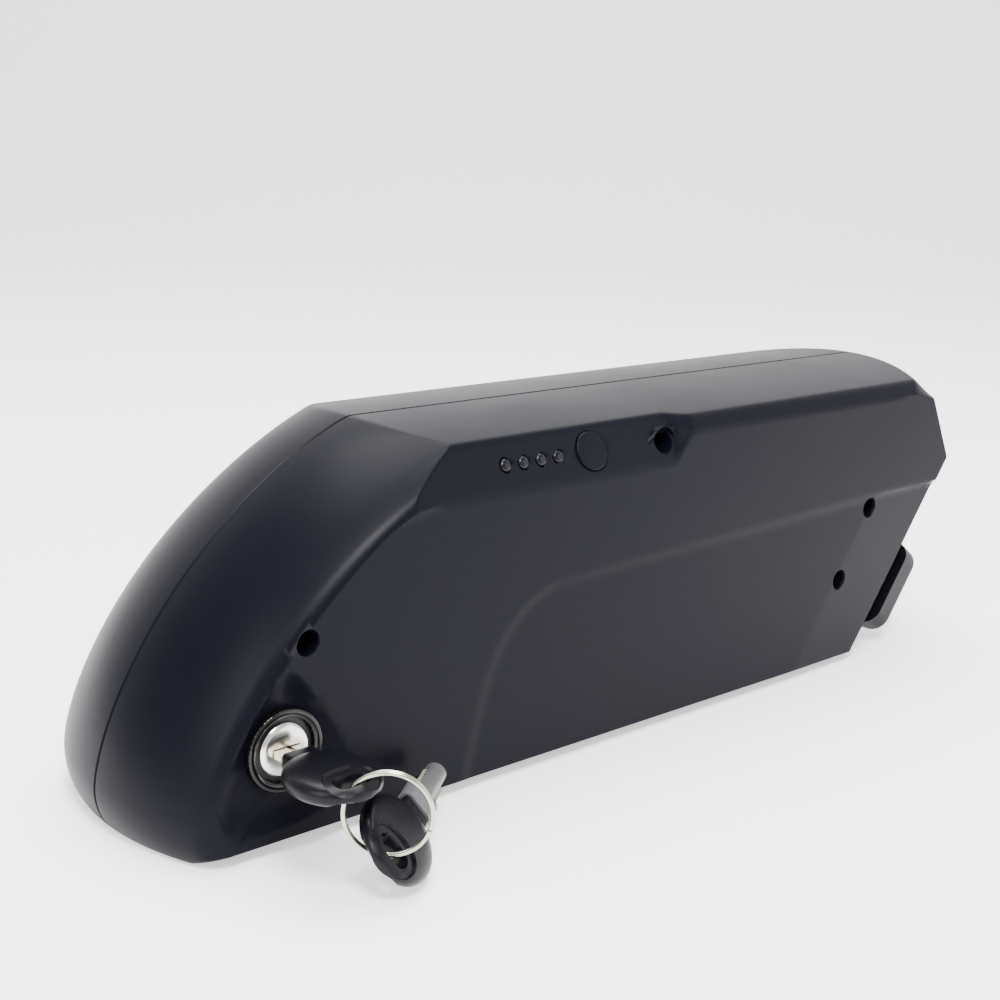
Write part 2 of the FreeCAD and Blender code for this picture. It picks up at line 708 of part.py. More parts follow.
def make_display():
    """The lens strip, the button with its spring, the board and its lamps."""
    depth = -wall - 0.6
    pieces = []
    for x in lens_places():
        stem_low = bevel_point(x, display_down, depth - 1)
        stem = rod(lens_diameter / 2, stem_low, bevel_point(x, display_down, 0.1))
        dome = Part.makeSphere(lens_diameter / 2 + 0.4, V(*bevel_point(x, display_down, -1.5)))
        keep = rod(lens_diameter / 2, bevel_point(x, display_down, -1), bevel_point(x, display_down, 3))
        pieces.append(stem.fuse(dome.common(keep)))
    half_strip = lens_pitch * lens_count / 2
    strip = stadium(half_strip * 2 + 2, 7.0, 1.6)
    pieces.append(place(strip, bevel_point(display_x, display_down, depth - 0.8), (1, 0, 0), bevel_out()))
    add_node("lens_strip", fuse_all(pieces))
    cap = rod(button_diameter / 2, bevel_point(button_x, display_down, depth - 0.1),
              bevel_point(button_x, display_down, button_proud))
    top_z_level = bevel_point(0, display_down, 0)[2] + button_diameter / 2 * 0.9
    top_ring = [e for e in cap.Edges if e.Length > 20 and e.BoundBox.ZMax > top_z_level]
    cap = cap.makeFillet(0.8, top_ring)
    flange = rod(button_diameter / 2 + 1.1, bevel_point(button_x, display_down, depth - 1.2),
                 bevel_point(button_x, display_down, depth))
    stem = rod(1.5, bevel_point(button_x, display_down, depth - 2.4),
               bevel_point(button_x, display_down, depth))
    add_node("power_button", fuse_all([cap, flange, stem]))
    spring_high = depth - 1.3 - button_travel
    spring_low = spring_high - 1.6
    add_node("button_spring", tube(5.0, 4.2, bevel_point(button_x, display_down, spring_low + 0.05),
                                   bevel_point(button_x, display_down, spring_high)))
    board_top = spring_low
    board = box((display_x - 20, -6.5, -1.6), (button_x + 12, 6.5, 0))
    centre = bevel_point(0, display_down, board_top)
    add_node("display_board", place(board, centre, (1, 0, 0), bevel_out()))
    switch_top = depth - 2.4 - button_travel - 0.1
    switch = rod(1.6, bevel_point(button_x, display_down, board_top + 0.05),
                 bevel_point(button_x, display_down, switch_top))
    add_node("button_switch", switch)
    lamp_low = board_top + 0.05
    lamp_high = depth - 1.9
    lamps = [rod(1.4, bevel_point(x, display_down, lamp_low), bevel_point(x, display_down, lamp_high))
             for x in lens_places()]
    add_node("display_lamps", lamps)


# ---- the lock ------------------------------------------------------------------------
def bolt_hole():
    """The guide for the bolt, through the rail channel's roof."""
    x, y = bolt_place()
    return rod(bolt_diameter / 2 + 0.08, (x, y, rail_depth - 1), (x, y, 60))


def bolt_place():
    """The bolt's axis in plan."""
    return lock_x, bolt_y


def make_lock():
    """The lock's fixed pieces, its turning plug with the cam, and the bolt."""
    face = lock_face_y
    front = face - lock_bezel_thickness
    bezel = tube(lock_bezel_diameter / 2, lock_body_diameter / 2 + 0.05,
                 (lock_x, face, lock_z), (lock_x, front, lock_z))
    rim = [e for e in bezel.Edges if e.Length > 60 and abs(e.Vertexes[0].Y - front) < 1e-6]
    add_node("lock_bezel", bezel.makeFillet(1.0, rim))
    well = face - 0.6
    bore = lock_plug_diameter / 2 + lock_running_gap
    rear = face + lock_body_length
    body = tube(lock_body_diameter / 2, bore, (lock_x, well, lock_z), (lock_x, rear, lock_z))
    add_node("lock_body", body)
    nut_y = -half_width + 12.2
    nut = tube(lock_body_diameter / 2 + 3.4, lock_body_diameter / 2 + 0.02, (lock_x, nut_y, lock_z),
               (lock_x, nut_y + 4.0, lock_z))
    add_node("lock_nut", nut)
    plug_face = -half_width + 0.2
    plug_rear = lock_rear_y
    plug = rod(lock_plug_diameter / 2, (lock_x, plug_face, lock_z), (lock_x, plug_rear, lock_z))
    rim = [e for e in plug.Edges if e.Length > 40 and e.Vertexes[0].Y < plug_face + 1e-6]
    plug = plug.makeChamfer(1.0, rim)
    slot = box((lock_x - key_blade_width / 2 - 0.15, plug_face - 1, lock_z - key_blade_thickness / 2 - 0.15),
               (lock_x + key_blade_width / 2 + 0.15, plug_face + 25, lock_z + key_blade_thickness / 2 + 0.15))
    add_node("lock_plug", plug.cut(slot))
    throw = bolt_travel / 2 / math.sin(math.radians(lock_turn / 2))
    angle = math.radians(180 - lock_turn / 2)
    pin_x = lock_x + throw * math.cos(angle)
    pin_z = lock_z + throw * math.sin(angle)
    disc = rod(7.2, (lock_x, plug_rear + 0.05, lock_z), (lock_x, plug_rear + 2.2, lock_z))
    pin = rod(1.5, (pin_x, plug_rear + 1, pin_z), (pin_x, plug_rear + 5.0, pin_z))
    add_node("lock_cam", disc.fuse(pin))
    x, y = bolt_place()
    head_low = plug_rear + 2.5
    low = rail_depth + 0.6
    pin_reach = throw + 1.5 + 0.6
    stem = rod(bolt_diameter / 2, (x, y, low), (x, y, lock_z - 8))
    stem = stem.makeChamfer(0.8, [e for e in stem.Edges if e.Length > 15 and e.Vertexes[0].Z < low + 1e-6])
    head_z = lock_z - bolt_head_drop
    head = box((x - 8.0, head_low, head_z), (x + 8.0, head_low + 3.2, pin_z + 4.5))
    foot = box((x - 3.4, head_low, head_z), (x + 3.4, y + 3.4, head_z + 3.5))
    slot_half = 1.5 + 0.35
    way = box((x - pin_reach, head_low - 1, pin_z - slot_half),
              (x + pin_reach, head_low + 5, pin_z + slot_half))
    add_node("lock_bolt", fuse_all([stem, head, foot]).cut(way))


def key_bow():
    """A key's plastic bow about the origin: its blade leaves towards -Y."""
    oval = Part.makeCylinder(1.0, 1.0, V(0, 0, -0.5))
    grow = FreeCAD.Matrix()
    grow.A11 = key_bow_width / 2
    grow.A22 = key_bow_length / 2
    grow.A33 = key_bow_thickness
    oval = oval.transformGeometry(grow)
    pillow = Part.makeSphere(1.0)
    grow.A11 = key_bow_width / 2 + 3
    grow.A22 = key_bow_length / 2 + 3
    grow.A33 = key_bow_thickness / 2 + 0.8
    pillow = pillow.transformGeometry(grow)
    bow = oval.common(pillow)
    neck = box((-5.4, -key_bow_length / 2 - 1.5, -2.6), (5.4, 0, 2.6))
    bow = bow.fuse(neck)
    slot = stadium(key_slot_length, key_slot_width, key_bow_thickness * 3)
    slot.translate(V(0, key_bow_length / 2 - key_slot_width / 2 - 3.2, 0))
    thin = stadium(key_slot_length + 5.5, key_slot_width + 5.5, key_bow_thickness)
    high = thin.copy()
    high.translate(V(0, key_bow_length / 2 - key_slot_width / 2 - 3.2, key_bow_thickness / 2 + 2.3))
    low = thin.copy()
    low.translate(V(0, key_bow_length / 2 - key_slot_width / 2 - 3.2, -key_bow_thickness / 2 - 2.3))
    return bow.cut([slot, high, low])


def slot_centre(origin, x_axis, z_axis):
    """Where a bow's slot is, once the bow is placed."""
    y_way = V(*z_axis).cross(V(*x_axis)).normalize()
    return V(*origin) + y_way * (key_bow_length / 2 - key_slot_width / 2 - 3.2)


def key_blade(length):
    """A flat blade about the origin, running towards -Y, with its warding groove."""
    blade = box((-key_blade_width / 2, -length, -key_blade_thickness / 2),
                (key_blade_width / 2, 5.0, key_blade_thickness / 2))
    groove = box((-1.4, -length - 1, key_blade_thickness / 2 - 0.6), (0.2, -4, key_blade_thickness))
    tip = [e for e in blade.Edges if max(e.Vertexes[0].Y, e.Vertexes[-1].Y) < -length + 1e-6]
    point = [e for e in tip if e.Length < key_blade_thickness + 0.1]
    return blade.makeFillet(3.0, point).cut(groove)


KEY1_Y = -half_width - key_blade_out - key_bow_length / 2 - 1.5
KEY1_AXES = ((-1, 0, 0), (0, 0, 1))
SLOT1 = slot_centre((lock_x, KEY1_Y, lock_z), *KEY1_AXES)
RING_WAY = V(0.742, -0.670, 0)          # the ring hangs in this upright plane
RING_NORMAL = V(0.670, 0.742, 0)
RING_HANG = math.radians(35)            # the slot is this far up the ring from its side
RING_DROP = V(0, 0, ring_radius * math.sin(RING_HANG))
RING_CENTRE = SLOT1 + RING_WAY * (ring_radius * math.cos(RING_HANG)) - RING_DROP
SLOT2 = RING_CENTRE + V(0, 0, -ring_radius)
KEY2_BLADE = V(0.80, 0.60, 0.03).normalize()
KEY2_WIDE = V(0.40, -0.50, -0.77)
KEY2_WIDE = (KEY2_WIDE - KEY2_BLADE * KEY2_WIDE.dot(KEY2_BLADE)).normalize()
KEY2_NORMAL = KEY2_WIDE.cross(KEY2_BLADE * -1).normalize()


def make_keys():
    """The key in the lock, the ring, and the second key in its sleeve."""
    start = (lock_x, KEY1_Y, lock_z)
    bow = place(key_bow(), start, KEY1_AXES[0], KEY1_AXES[1])
    blade_end = key_bow_length / 2 + 1.5
    blade = key_blade(blade_end + key_blade_out + 22.0)
    blade1 = place(blade, start, KEY1_AXES[0], KEY1_AXES[1])
    add_node("key_bow", bow.cut(blade1))
    add_node("key_blade", blade1)
    rings = []
    for side in (-0.5, 0.5):
        centre = RING_CENTRE + RING_NORMAL * (side * ring_wire * 0.8)
        rings.append(Part.makeTorus(ring_radius, ring_wire / 2, centre, RING_NORMAL))
    add_node("key_ring", fuse_all(rings))
    reach = key_bow_length / 2 - key_slot_width / 2 - 3.2
    origin = SLOT2 + KEY2_BLADE * reach
    bow2 = place(key_bow(), tuple(origin), tuple(KEY2_WIDE), tuple(KEY2_NORMAL))
    blade2 = place(key_blade(blade_end + 22.0), tuple(origin), tuple(KEY2_WIDE), tuple(KEY2_NORMAL))
    add_node("spare_key_bow", bow2.cut(blade2))
    add_node("spare_key_blade", blade2)
    sleeve_start = blade_end + 1.0
    outer = stadium(key_blade_width + 3.4, 5.4, 9.0)
    outer.translate(V(0, 0, 4.5))
    tip = Part.makeCylinder(3.4, 17.0, V(0, 0, 8.0))
    body = outer.fuse(tip)
    cavity = box((-key_blade_width / 2 - 0.2, -key_blade_thickness / 2 - 0.2, -1),
                 (key_blade_width / 2 + 0.2, key_blade_thickness / 2 + 0.2, 22.5))
    body = body.cut(cavity)
    start2 = origin + KEY2_BLADE * sleeve_start
    add_node("spare_key_sleeve", place(body, tuple(start2), tuple(KEY2_WIDE), tuple(KEY2_BLADE)))


# ---- the charging socket ---------------------------------------------------------------
def charge_hole():
    """The hole for the charging socket, in the far side's lower panel."""
    return rod(charge_barrel / 2 + slip_gap, (charge_x, half_width - 12, charge_z),
               (charge_x, half_width + 5, charge_z))


def make_charge_socket():
    """The socket, its centre pin, its nut, and the rubber cap on its hinge."""
    face = half_width
    flange = tube(charge_flange / 2, charge_bore / 2, (charge_x, face + 0.05, charge_z),
                  (charge_x, face + 1.6, charge_z))
    barrel = tube(charge_barrel / 2, charge_bore / 2, (charge_x, face - charge_depth, charge_z),
                  (charge_x, face + 1.0, charge_z))
    back = rod(charge_barrel / 2, (charge_x, face - charge_depth - 2, charge_z),
               (charge_x, face - charge_depth + 1, charge_z))
    add_node("charge_socket", fuse_all([flange, barrel, back]).cut(
        rod(charge_pin / 2, (charge_x, face - charge_depth - 3, charge_z), (charge_x, face - 2, charge_z))))
    add_node("charge_pin", rod(charge_pin / 2, (charge_x, face - charge_depth - 3, charge_z),
                               (charge_x, face - 2.5, charge_z)))
    nut = tube(charge_flange / 2, charge_barrel / 2 + 0.02, (charge_x, face - wall - 3.2, charge_z),
               (charge_x, face - wall - 0.2, charge_z))
    add_node("charge_nut", nut)
    hinge_z = charge_z + charge_flange / 2 + 3.0
    cap = rod(charge_flange / 2 + 0.6, (charge_x, face + 1.9, charge_z), (charge_x, face + 4.3, charge_z))
    cap = cap.makeFillet(1.0, [e for e in cap.Edges if e.Length > 50 and e.Vertexes[0].Y > face + 4])
    bung = rod(charge_bore / 2 - 0.25, (charge_x, face - 1.0, charge_z), (charge_x, face + 2.5, charge_z))
    strap = box((charge_x - 4, face + 1.9, charge_z + 6), (charge_x + 4, face + 3.3, hinge_z - 0.6))
    knuckle = rod(1.4, (charge_x - 4, face + 1.9, hinge_z), (charge_x + 4, face + 1.9, hinge_z))
    add_node("charge_cap", fuse_all([cap, bung, strap, knuckle]))
    ears = []
    for side in (-1, 1):
        edge = charge_x + side * 4.3
        end = charge_x + side * 6.8
        low_x = min(edge, end)
        ears.append(box((low_x, face + 0.02, hinge_z - 1.8), (low_x + 2.5, face + 3.6, hinge_z + 1.8)))
    add_node("cap_hinge", ears)


# ---- the plug at the back -----------------------------------------------------------------
def on_back(shape, along, out, y=0.0):
    """Puts a shape on the lower back face: its X across, its Z straight out."""
    return place(shape, back_face_point(along, out, y), (0, 1, 0), BACK_OUT)


def socket_hole():
    """The hole in the shells for the plug block's back half."""
    half = socket_width / 2 + 3
    rise = socket_height / 2 + 3
    hole = box((-half, -rise, -12), (half, rise, 3))
    return on_back(hole, tail_plug_along, 0.0)


def make_tail_plug():
    """The plug block with its socket, blades, seal and screws."""
    middle = tail_plug_along
    half = tail_plug_width / 2
    block = box((-half, -tail_plug_length / 2, 0.5), (half, tail_plug_length / 2, tail_plug_out))
    uprights = [e for e in block.Edges if abs(e.Length - (tail_plug_out - 0.5)) < 1e-6]
    block = block.makeFillet(7.0, uprights)
    rim = [e for e in block.Edges if e.BoundBox.ZMin > tail_plug_out - 1e-6]
    block = block.makeFillet(2.4, rim)
    stem = box((-socket_width / 2 - 2.6, -socket_height / 2 - 2.6, -9),
               (socket_width / 2 + 2.6, socket_height / 2 + 2.6, 1))
    socket = box((-socket_width / 2, -socket_height / 2, -3), (socket_width / 2, socket_height / 2,
                                                               tail_plug_out + 1))
    slots = [box((x - 3.2, -0.55, -12), (x + 3.2, 0.55, 0)) for x in blade_offsets()]
    holes = [rod(1.7, (x, 0, -2), (x, 0, tail_plug_out + 1)) for x in screw_offsets()]
    heads = [rod(3.3, (x, 0, tail_plug_out - 3.0), (x, 0, tail_plug_out + 1)) for x in screw_offsets()]
    body = block.fuse(stem).cut([socket] + slots + holes + heads)
    trim = box((-case_length, -case_width, -20), (case_length, case_width, 0.3))
    add_node("tail_plug", on_back(body, middle, 0.0).cut(trim))
    blades = [box((x - 3.1, -0.5, -11.5), (x + 3.1, 0.5, 1.4)) for x in blade_offsets()]
    add_node("tail_blades", [on_back(b, middle, 0.0) for b in blades])
    seal = box((-socket_width / 2 - 6, -socket_height / 2 - 5, 0.02),
               (socket_width / 2 + 6, socket_height / 2 + 5, 0.46))
    seal = seal.cut(box((-socket_width / 2 - 3, -socket_height / 2 - 3, -1),
                        (socket_width / 2 + 3, socket_height / 2 + 3, 1)))
    add_node("tail_seal", on_back(seal, middle, 0.0))
    screws = [rod(3.0, (x, 0, tail_plug_out - 2.95), (x, 0, tail_plug_out - 0.9)).fuse(
        rod(1.5, (x, 0, 0.6), (x, 0, tail_plug_out - 2.9))) for x in screw_offsets()]
    add_node("tail_screws", [on_back(s, middle, 0.0) for s in screws])


def blade_offsets():
    """Where the blades stand across the plug."""
    return [(i - (blade_count - 1) / 2.0) * blade_pitch for i in range(blade_count)]


def screw_offsets():
    """Where the plug block's two screws are."""
    return [-socket_width / 2 - 6.5, socket_width / 2 + 6.5]


def main():
    """Builds every node and writes it to its own file."""
    make_shells()
    make_case_screws()
    make_cells()
    make_holders()
    make_foam()
    make_control_board()
    make_leads()
    make_fuse()
    make_display()
    make_lock()
    make_keys()
    make_charge_socket()
    make_tail_plug()
    os.makedirs("parts", exist_ok=True)
    for name, shape in NODES.items():
        shape.exportStep("parts/%s.step" % name)
        box_size = shape.BoundBox
        print("%-26s %2d solids %9.1f mm3 valid %s  x %.1f %.1f y %.1f %.1f z %.1f %.1f" % (
            name, len(shape.Solids), shape.Volume, shape.isValid(), box_size.XMin, box_size.XMax,
            box_size.YMin, box_size.YMax, box_size.ZMin, box_size.ZMax))


if __name__ == "__main__":
    main()
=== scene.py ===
"""Looks of a down-tube battery pack: case, display, lock, keys, inlet and plug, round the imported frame."""
import json
import logging
import math
from dataclasses import dataclass, field
from enum import Enum
from typing import ClassVar, Optional, Sequence

import bmesh
import bpy
import numpy as np
from mathutils import Matrix, Vector


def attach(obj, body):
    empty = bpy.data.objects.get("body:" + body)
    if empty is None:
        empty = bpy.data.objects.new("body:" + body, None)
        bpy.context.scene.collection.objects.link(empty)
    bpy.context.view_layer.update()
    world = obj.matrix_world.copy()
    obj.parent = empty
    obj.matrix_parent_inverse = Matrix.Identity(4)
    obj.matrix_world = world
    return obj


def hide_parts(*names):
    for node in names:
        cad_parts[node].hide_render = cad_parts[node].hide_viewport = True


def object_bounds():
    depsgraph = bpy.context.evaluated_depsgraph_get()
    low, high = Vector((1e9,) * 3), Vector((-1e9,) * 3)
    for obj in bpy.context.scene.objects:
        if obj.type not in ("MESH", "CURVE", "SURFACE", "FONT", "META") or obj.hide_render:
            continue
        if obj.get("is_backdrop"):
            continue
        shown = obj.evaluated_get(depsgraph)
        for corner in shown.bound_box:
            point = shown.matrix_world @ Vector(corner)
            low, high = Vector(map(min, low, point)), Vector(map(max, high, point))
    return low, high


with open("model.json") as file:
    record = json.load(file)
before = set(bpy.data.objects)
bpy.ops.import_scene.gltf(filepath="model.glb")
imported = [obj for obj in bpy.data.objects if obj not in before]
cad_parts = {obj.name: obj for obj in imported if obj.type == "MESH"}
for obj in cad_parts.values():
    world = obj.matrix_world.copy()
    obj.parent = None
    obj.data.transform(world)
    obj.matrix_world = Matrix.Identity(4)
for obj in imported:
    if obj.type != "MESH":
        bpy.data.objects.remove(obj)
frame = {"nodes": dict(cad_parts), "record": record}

MM = 0.001
LOG = logging.getLogger("battery_pack")
Array = np.ndarray


class Side(Enum):
    """The two sides of the case, by the sign of Y."""

    LOCK = -1.0
    FAR = 1.0


# ---- small maths ---------------------------------------------------------------------
def smooth(value: Array) -> Array:
    """Eases a value from 0 to 1: three squares less two cubes, held at both ends."""
    held = np.clip(value, 0.0, 1.0)
    return held * held * (3.0 - 2.0 * held)


def mix(first: Array, second: Array, share: Array) -> Array:
    """The value a share of the way from the first to the second."""
    return first + (second - first) * share


def unit(vector: Sequence[float]) -> Array:
    """A vector brought to a length of one."""
    array = np.asarray(vector, float)
    return array / np.linalg.norm(array)


def spread(joint: float, count: int, start: bool = True, stop: bool = True) -> Array:
    """Shares of a run from 0 to 1, with three close steps at the ends that meet an edge.

    Args:
        joint: share of the run that the close steps take.
        count: steps between the close ones.
        start: whether the first end meets an edge.
        stop: whether the last end meets an edge.

    Returns:
        The shares, 0 and 1 included.
    """
    low = joint if start else 0.0
    high = 1.0 - joint if stop else 1.0
    shares = [np.linspace(low, high, count + 1)]
    if start:
        shares.insert(0, np.linspace(0.0, joint, 4)[:3])
    if stop:
        shares.append(np.linspace(1.0 - joint, 1.0, 4)[1:])
    return np.concatenate(shares)


def curve_through(points: Sequence[Sequence[float]], steps: int = 24, closed: bool = False) -> Array:
    """A smooth curve through a few points: Catmull-Rom, whose tangent at a point runs
    along the line between its two neighbours.

    Args:
        points: the points, two or three numbers each.
        steps: samples from one point to the next.
        closed: whether the last point runs on to the first.

    Returns:
        The samples, one row each.
    """
    given = np.asarray(points, float)
    if closed:
        ring = np.vstack([given[-1:], given, given[:2]])
    else:
        ring = np.vstack([2 * given[0] - given[1], given, 2 * given[-1] - given[-2]])
    t = np.linspace(0.0, 1.0, steps, endpoint=False)[:, None]
    before, here, there, after = ring[:-3], ring[1:-2], ring[2:-1], ring[3:]
    spans = [0.5 * (2 * b + (c - a) * t + (2 * a - 5 * b + 4 * c - d) * t ** 2
                    + (3 * b - a - 3 * c + d) * t ** 3)
             for a, b, c, d in zip(before, here, there, after)]
    curve = np.vstack(spans)
    return curve if closed else np.vstack([curve, given[-1:]])


def offset_from(curve: Array, x: Array, z: Array, closed: bool = False) -> Array:
    """Signed distance from a plane curve: the nearest sample's normal component,
    positive on the right of the way the curve runs.

    Args:
        curve: samples of the curve, x and z.
        x: places along the case.
        z: heights.
        closed: whether the curve is a ring, where the plain distance is used.

    Returns:
        The distances, in the shape of x.
    """
    ahead = np.roll(curve, -1, axis=0) - np.roll(curve, 1, axis=0)
    if not closed:
        ahead[0] = curve[1] - curve[0]
        ahead[-1] = curve[-1] - curve[-2]
    ahead = ahead / np.linalg.norm(ahead, axis=1, keepdims=True)
    flat = np.column_stack([x.ravel(), z.ravel()])
    gaps = ((flat[:, None, :] - curve[None, :, :]) ** 2).sum(axis=2)
    near = gaps.argmin(axis=1)
    away = flat - curve[near]
    right = away[:, 0] * ahead[near, 1] - away[:, 1] * ahead[near, 0]
    if closed:
        right = np.sign(right) * np.sqrt(gaps[np.arange(len(near)), near])
    return right.reshape(x.shape)


# ---- meshes ----------------------------------------------------------------------------
class MeshMaker:
    """Gathers points, in millimetres, and faces, and turns them into one piece."""

    def __init__(self) -> None:
        """Starts with nothing."""
        self.points: list[Array] = []
        self.faces: list[Array] = []
        self.count = 0

    def add(self, points: Array) -> Array:
        """Adds points of any grid shape and returns their numbers in that shape."""
        flat = points.reshape(-1, 3)
        numbers = np.arange(self.count, self.count + len(flat)).reshape(points.shape[:-1])
        self.points.append(flat)
        self.count += len(flat)
        return numbers

    def cells(self, numbers: Array, wrap_rows: bool = False, wrap_columns: bool = False,
              cut: Optional[Array] = None) -> None:
        """Joins a grid of numbered points with four-sided faces.

        Args:
            numbers: the points' numbers, rows by columns.
            wrap_rows: whether the last row joins the first.
            wrap_columns: whether the last column joins the first.
            cut: cells to leave open, rows by columns.
        """
        grid = numbers
        if wrap_rows:
            grid = np.vstack([grid, grid[:1]])
        if wrap_columns:
            grid = np.hstack([grid, grid[:, :1]])
        quads = np.stack([grid[:-1, :-1], grid[:-1, 1:], grid[1:, 1:], grid[1:, :-1]], axis=-1)
        self.faces.append(quads[~cut] if cut is not None else quads.reshape(-1, 4))

    def fan(self, ring: Array, centre: Array) -> None:
        """Closes a ring with triangles to one point."""
        middle = self.add(np.asarray(centre, float).reshape(1, 3))[0]
        following = np.roll(ring, -1)
        self.faces.append(np.stack([ring, following, np.full_like(ring, middle)], axis=-1))

    def zip_lines(self, first: Array, second: Array, level_one: Array, level_two: Array) -> None:
        """Joins two lines of different counts with triangles: each edge of one goes to
        the point of the other that is level with it.

        Args:
            first: the first line's points.
            second: the second line's points.
            level_one: rising levels of the first line, from 0 to 1.
            level_two: the same for the second.
        """
        on_two = np.searchsorted(level_two[1:], level_one[1:], side="left")
        on_one = np.searchsorted(level_one[1:], level_two[1:], side="right")
        self.faces.append(np.stack([first[:-1], first[1:], second[on_two]], axis=-1))
        self.faces.append(np.stack([second[1:], second[:-1], first[on_one]], axis=-1))

    def zip_rings(self, first: Array, second: Array) -> None:
        """Joins two rings of different counts that start at the same turn."""
        one, two = np.append(first, first[0]), np.append(second, second[0])
        self.zip_lines(one, two, np.linspace(0, 1, len(one)), np.linspace(0, 1, len(two)))

    def stack(self, rings: Sequence[Array], cap_first: bool = True, cap_last: bool = True) -> Array:
        """Joins rings of the same count one after another, and closes the ends."""
        numbers = self.add(np.stack(rings))
        self.cells(numbers, wrap_columns=True)
        if cap_first:
            self.fan(numbers[0], np.mean(rings[0], axis=0))
        if cap_last:
            self.fan(numbers[-1], np.mean(rings[-1], axis=0))
        return numbers

    def piece(self, name: str, crease_deg: float = 38.0) -> bpy.types.Object:
        """Makes the piece, with its double points merged and its faces turned outwards.

        Args:
            name: the piece's name.
            crease_deg: edges that turn more than this are shaded sharp.

        Returns:
            The new object, at the origin, in metres.
        """
        mesh = bpy.data.meshes.new(name)
        faces = [face for group in self.faces for face in group.tolist()]
        mesh.from_pydata((np.vstack(self.points) * MM).tolist(), [], faces)
        work = bmesh.new()
        work.from_mesh(mesh)
        bmesh.ops.remove_doubles(work, verts=work.verts, dist=1e-6)
        bmesh.ops.dissolve_degenerate(work, edges=work.edges, dist=1e-7)
        bmesh.ops.recalc_face_normals(work, faces=work.faces)
        work.to_mesh(mesh)
        work.free()
        mesh.shade_smooth()
        mesh.set_sharp_from_angle(angle=math.radians(crease_deg))
        made = bpy.data.objects.new(name, mesh)
        bpy.context.scene.collection.objects.link(made)
        return made


def ring_of(radius: float, count: int, centre: Array, across: Array, along: Array) -> Array:
    """A circle: its centre plus the radius times cosine across and sine along."""
    turn = np.linspace(0.0, 2 * math.pi, count, endpoint=False)[:, None]
    return centre + radius * (np.cos(turn) * across + np.sin(turn) * along)


def rounded_loop(half_x: float, half_y: float, radius: float, per_corner: int = 8) -> Array:
    """A rectangle with round corners: each corner is a quarter circle about its own centre.

    Args:
        half_x: half its length.
        half_y: half its width.
        radius: of the corners.
        per_corner: steps in each corner.

    Returns:
        The loop's points, x and y.
    """
    quarter = np.linspace(0.0, math.pi / 2, per_corner + 1)
    loop = []
    for turn, (sx, sy) in enumerate(((1, 1), (-1, 1), (-1, -1), (1, -1))):
        angle = quarter + turn * math.pi / 2
        loop.append(np.column_stack([sx * (half_x - radius) + radius * np.cos(angle),
                                     sy * (half_y - radius) + radius * np.sin(angle)]))
    return np.vstack(loop)


@dataclass(frozen=True)
class Spot:
    """A place with its own axes, in millimetres: across and along lie in its face and
    out leaves it."""

    origin: Array
    across: Array
    along: Array

    @property
    def out(self) -> Array:
        """The way that leaves the face."""
        return np.cross(self.across, self.along)

    def lift(self, flat: Array, height: float | Array = 0.0) -> Array:
        """Puts plane points, x and y, on the spot at a height over its face."""
        raised = np.broadcast_to(np.asarray(height, float), flat.shape[:-1])[..., None]
        return self.origin + flat[..., :1] * self.across + flat[..., 1:2] * self.along + raised * self.out

    def turned(self, profile: Sequence[tuple[float, float]], count: int = 48) -> list[Array]:
        """Rings about the spot's axis, one for each radius and height of a profile."""
        return [ring_of(radius, count, self.origin + height * self.out, self.across, self.along)
                for radius, height in profile]


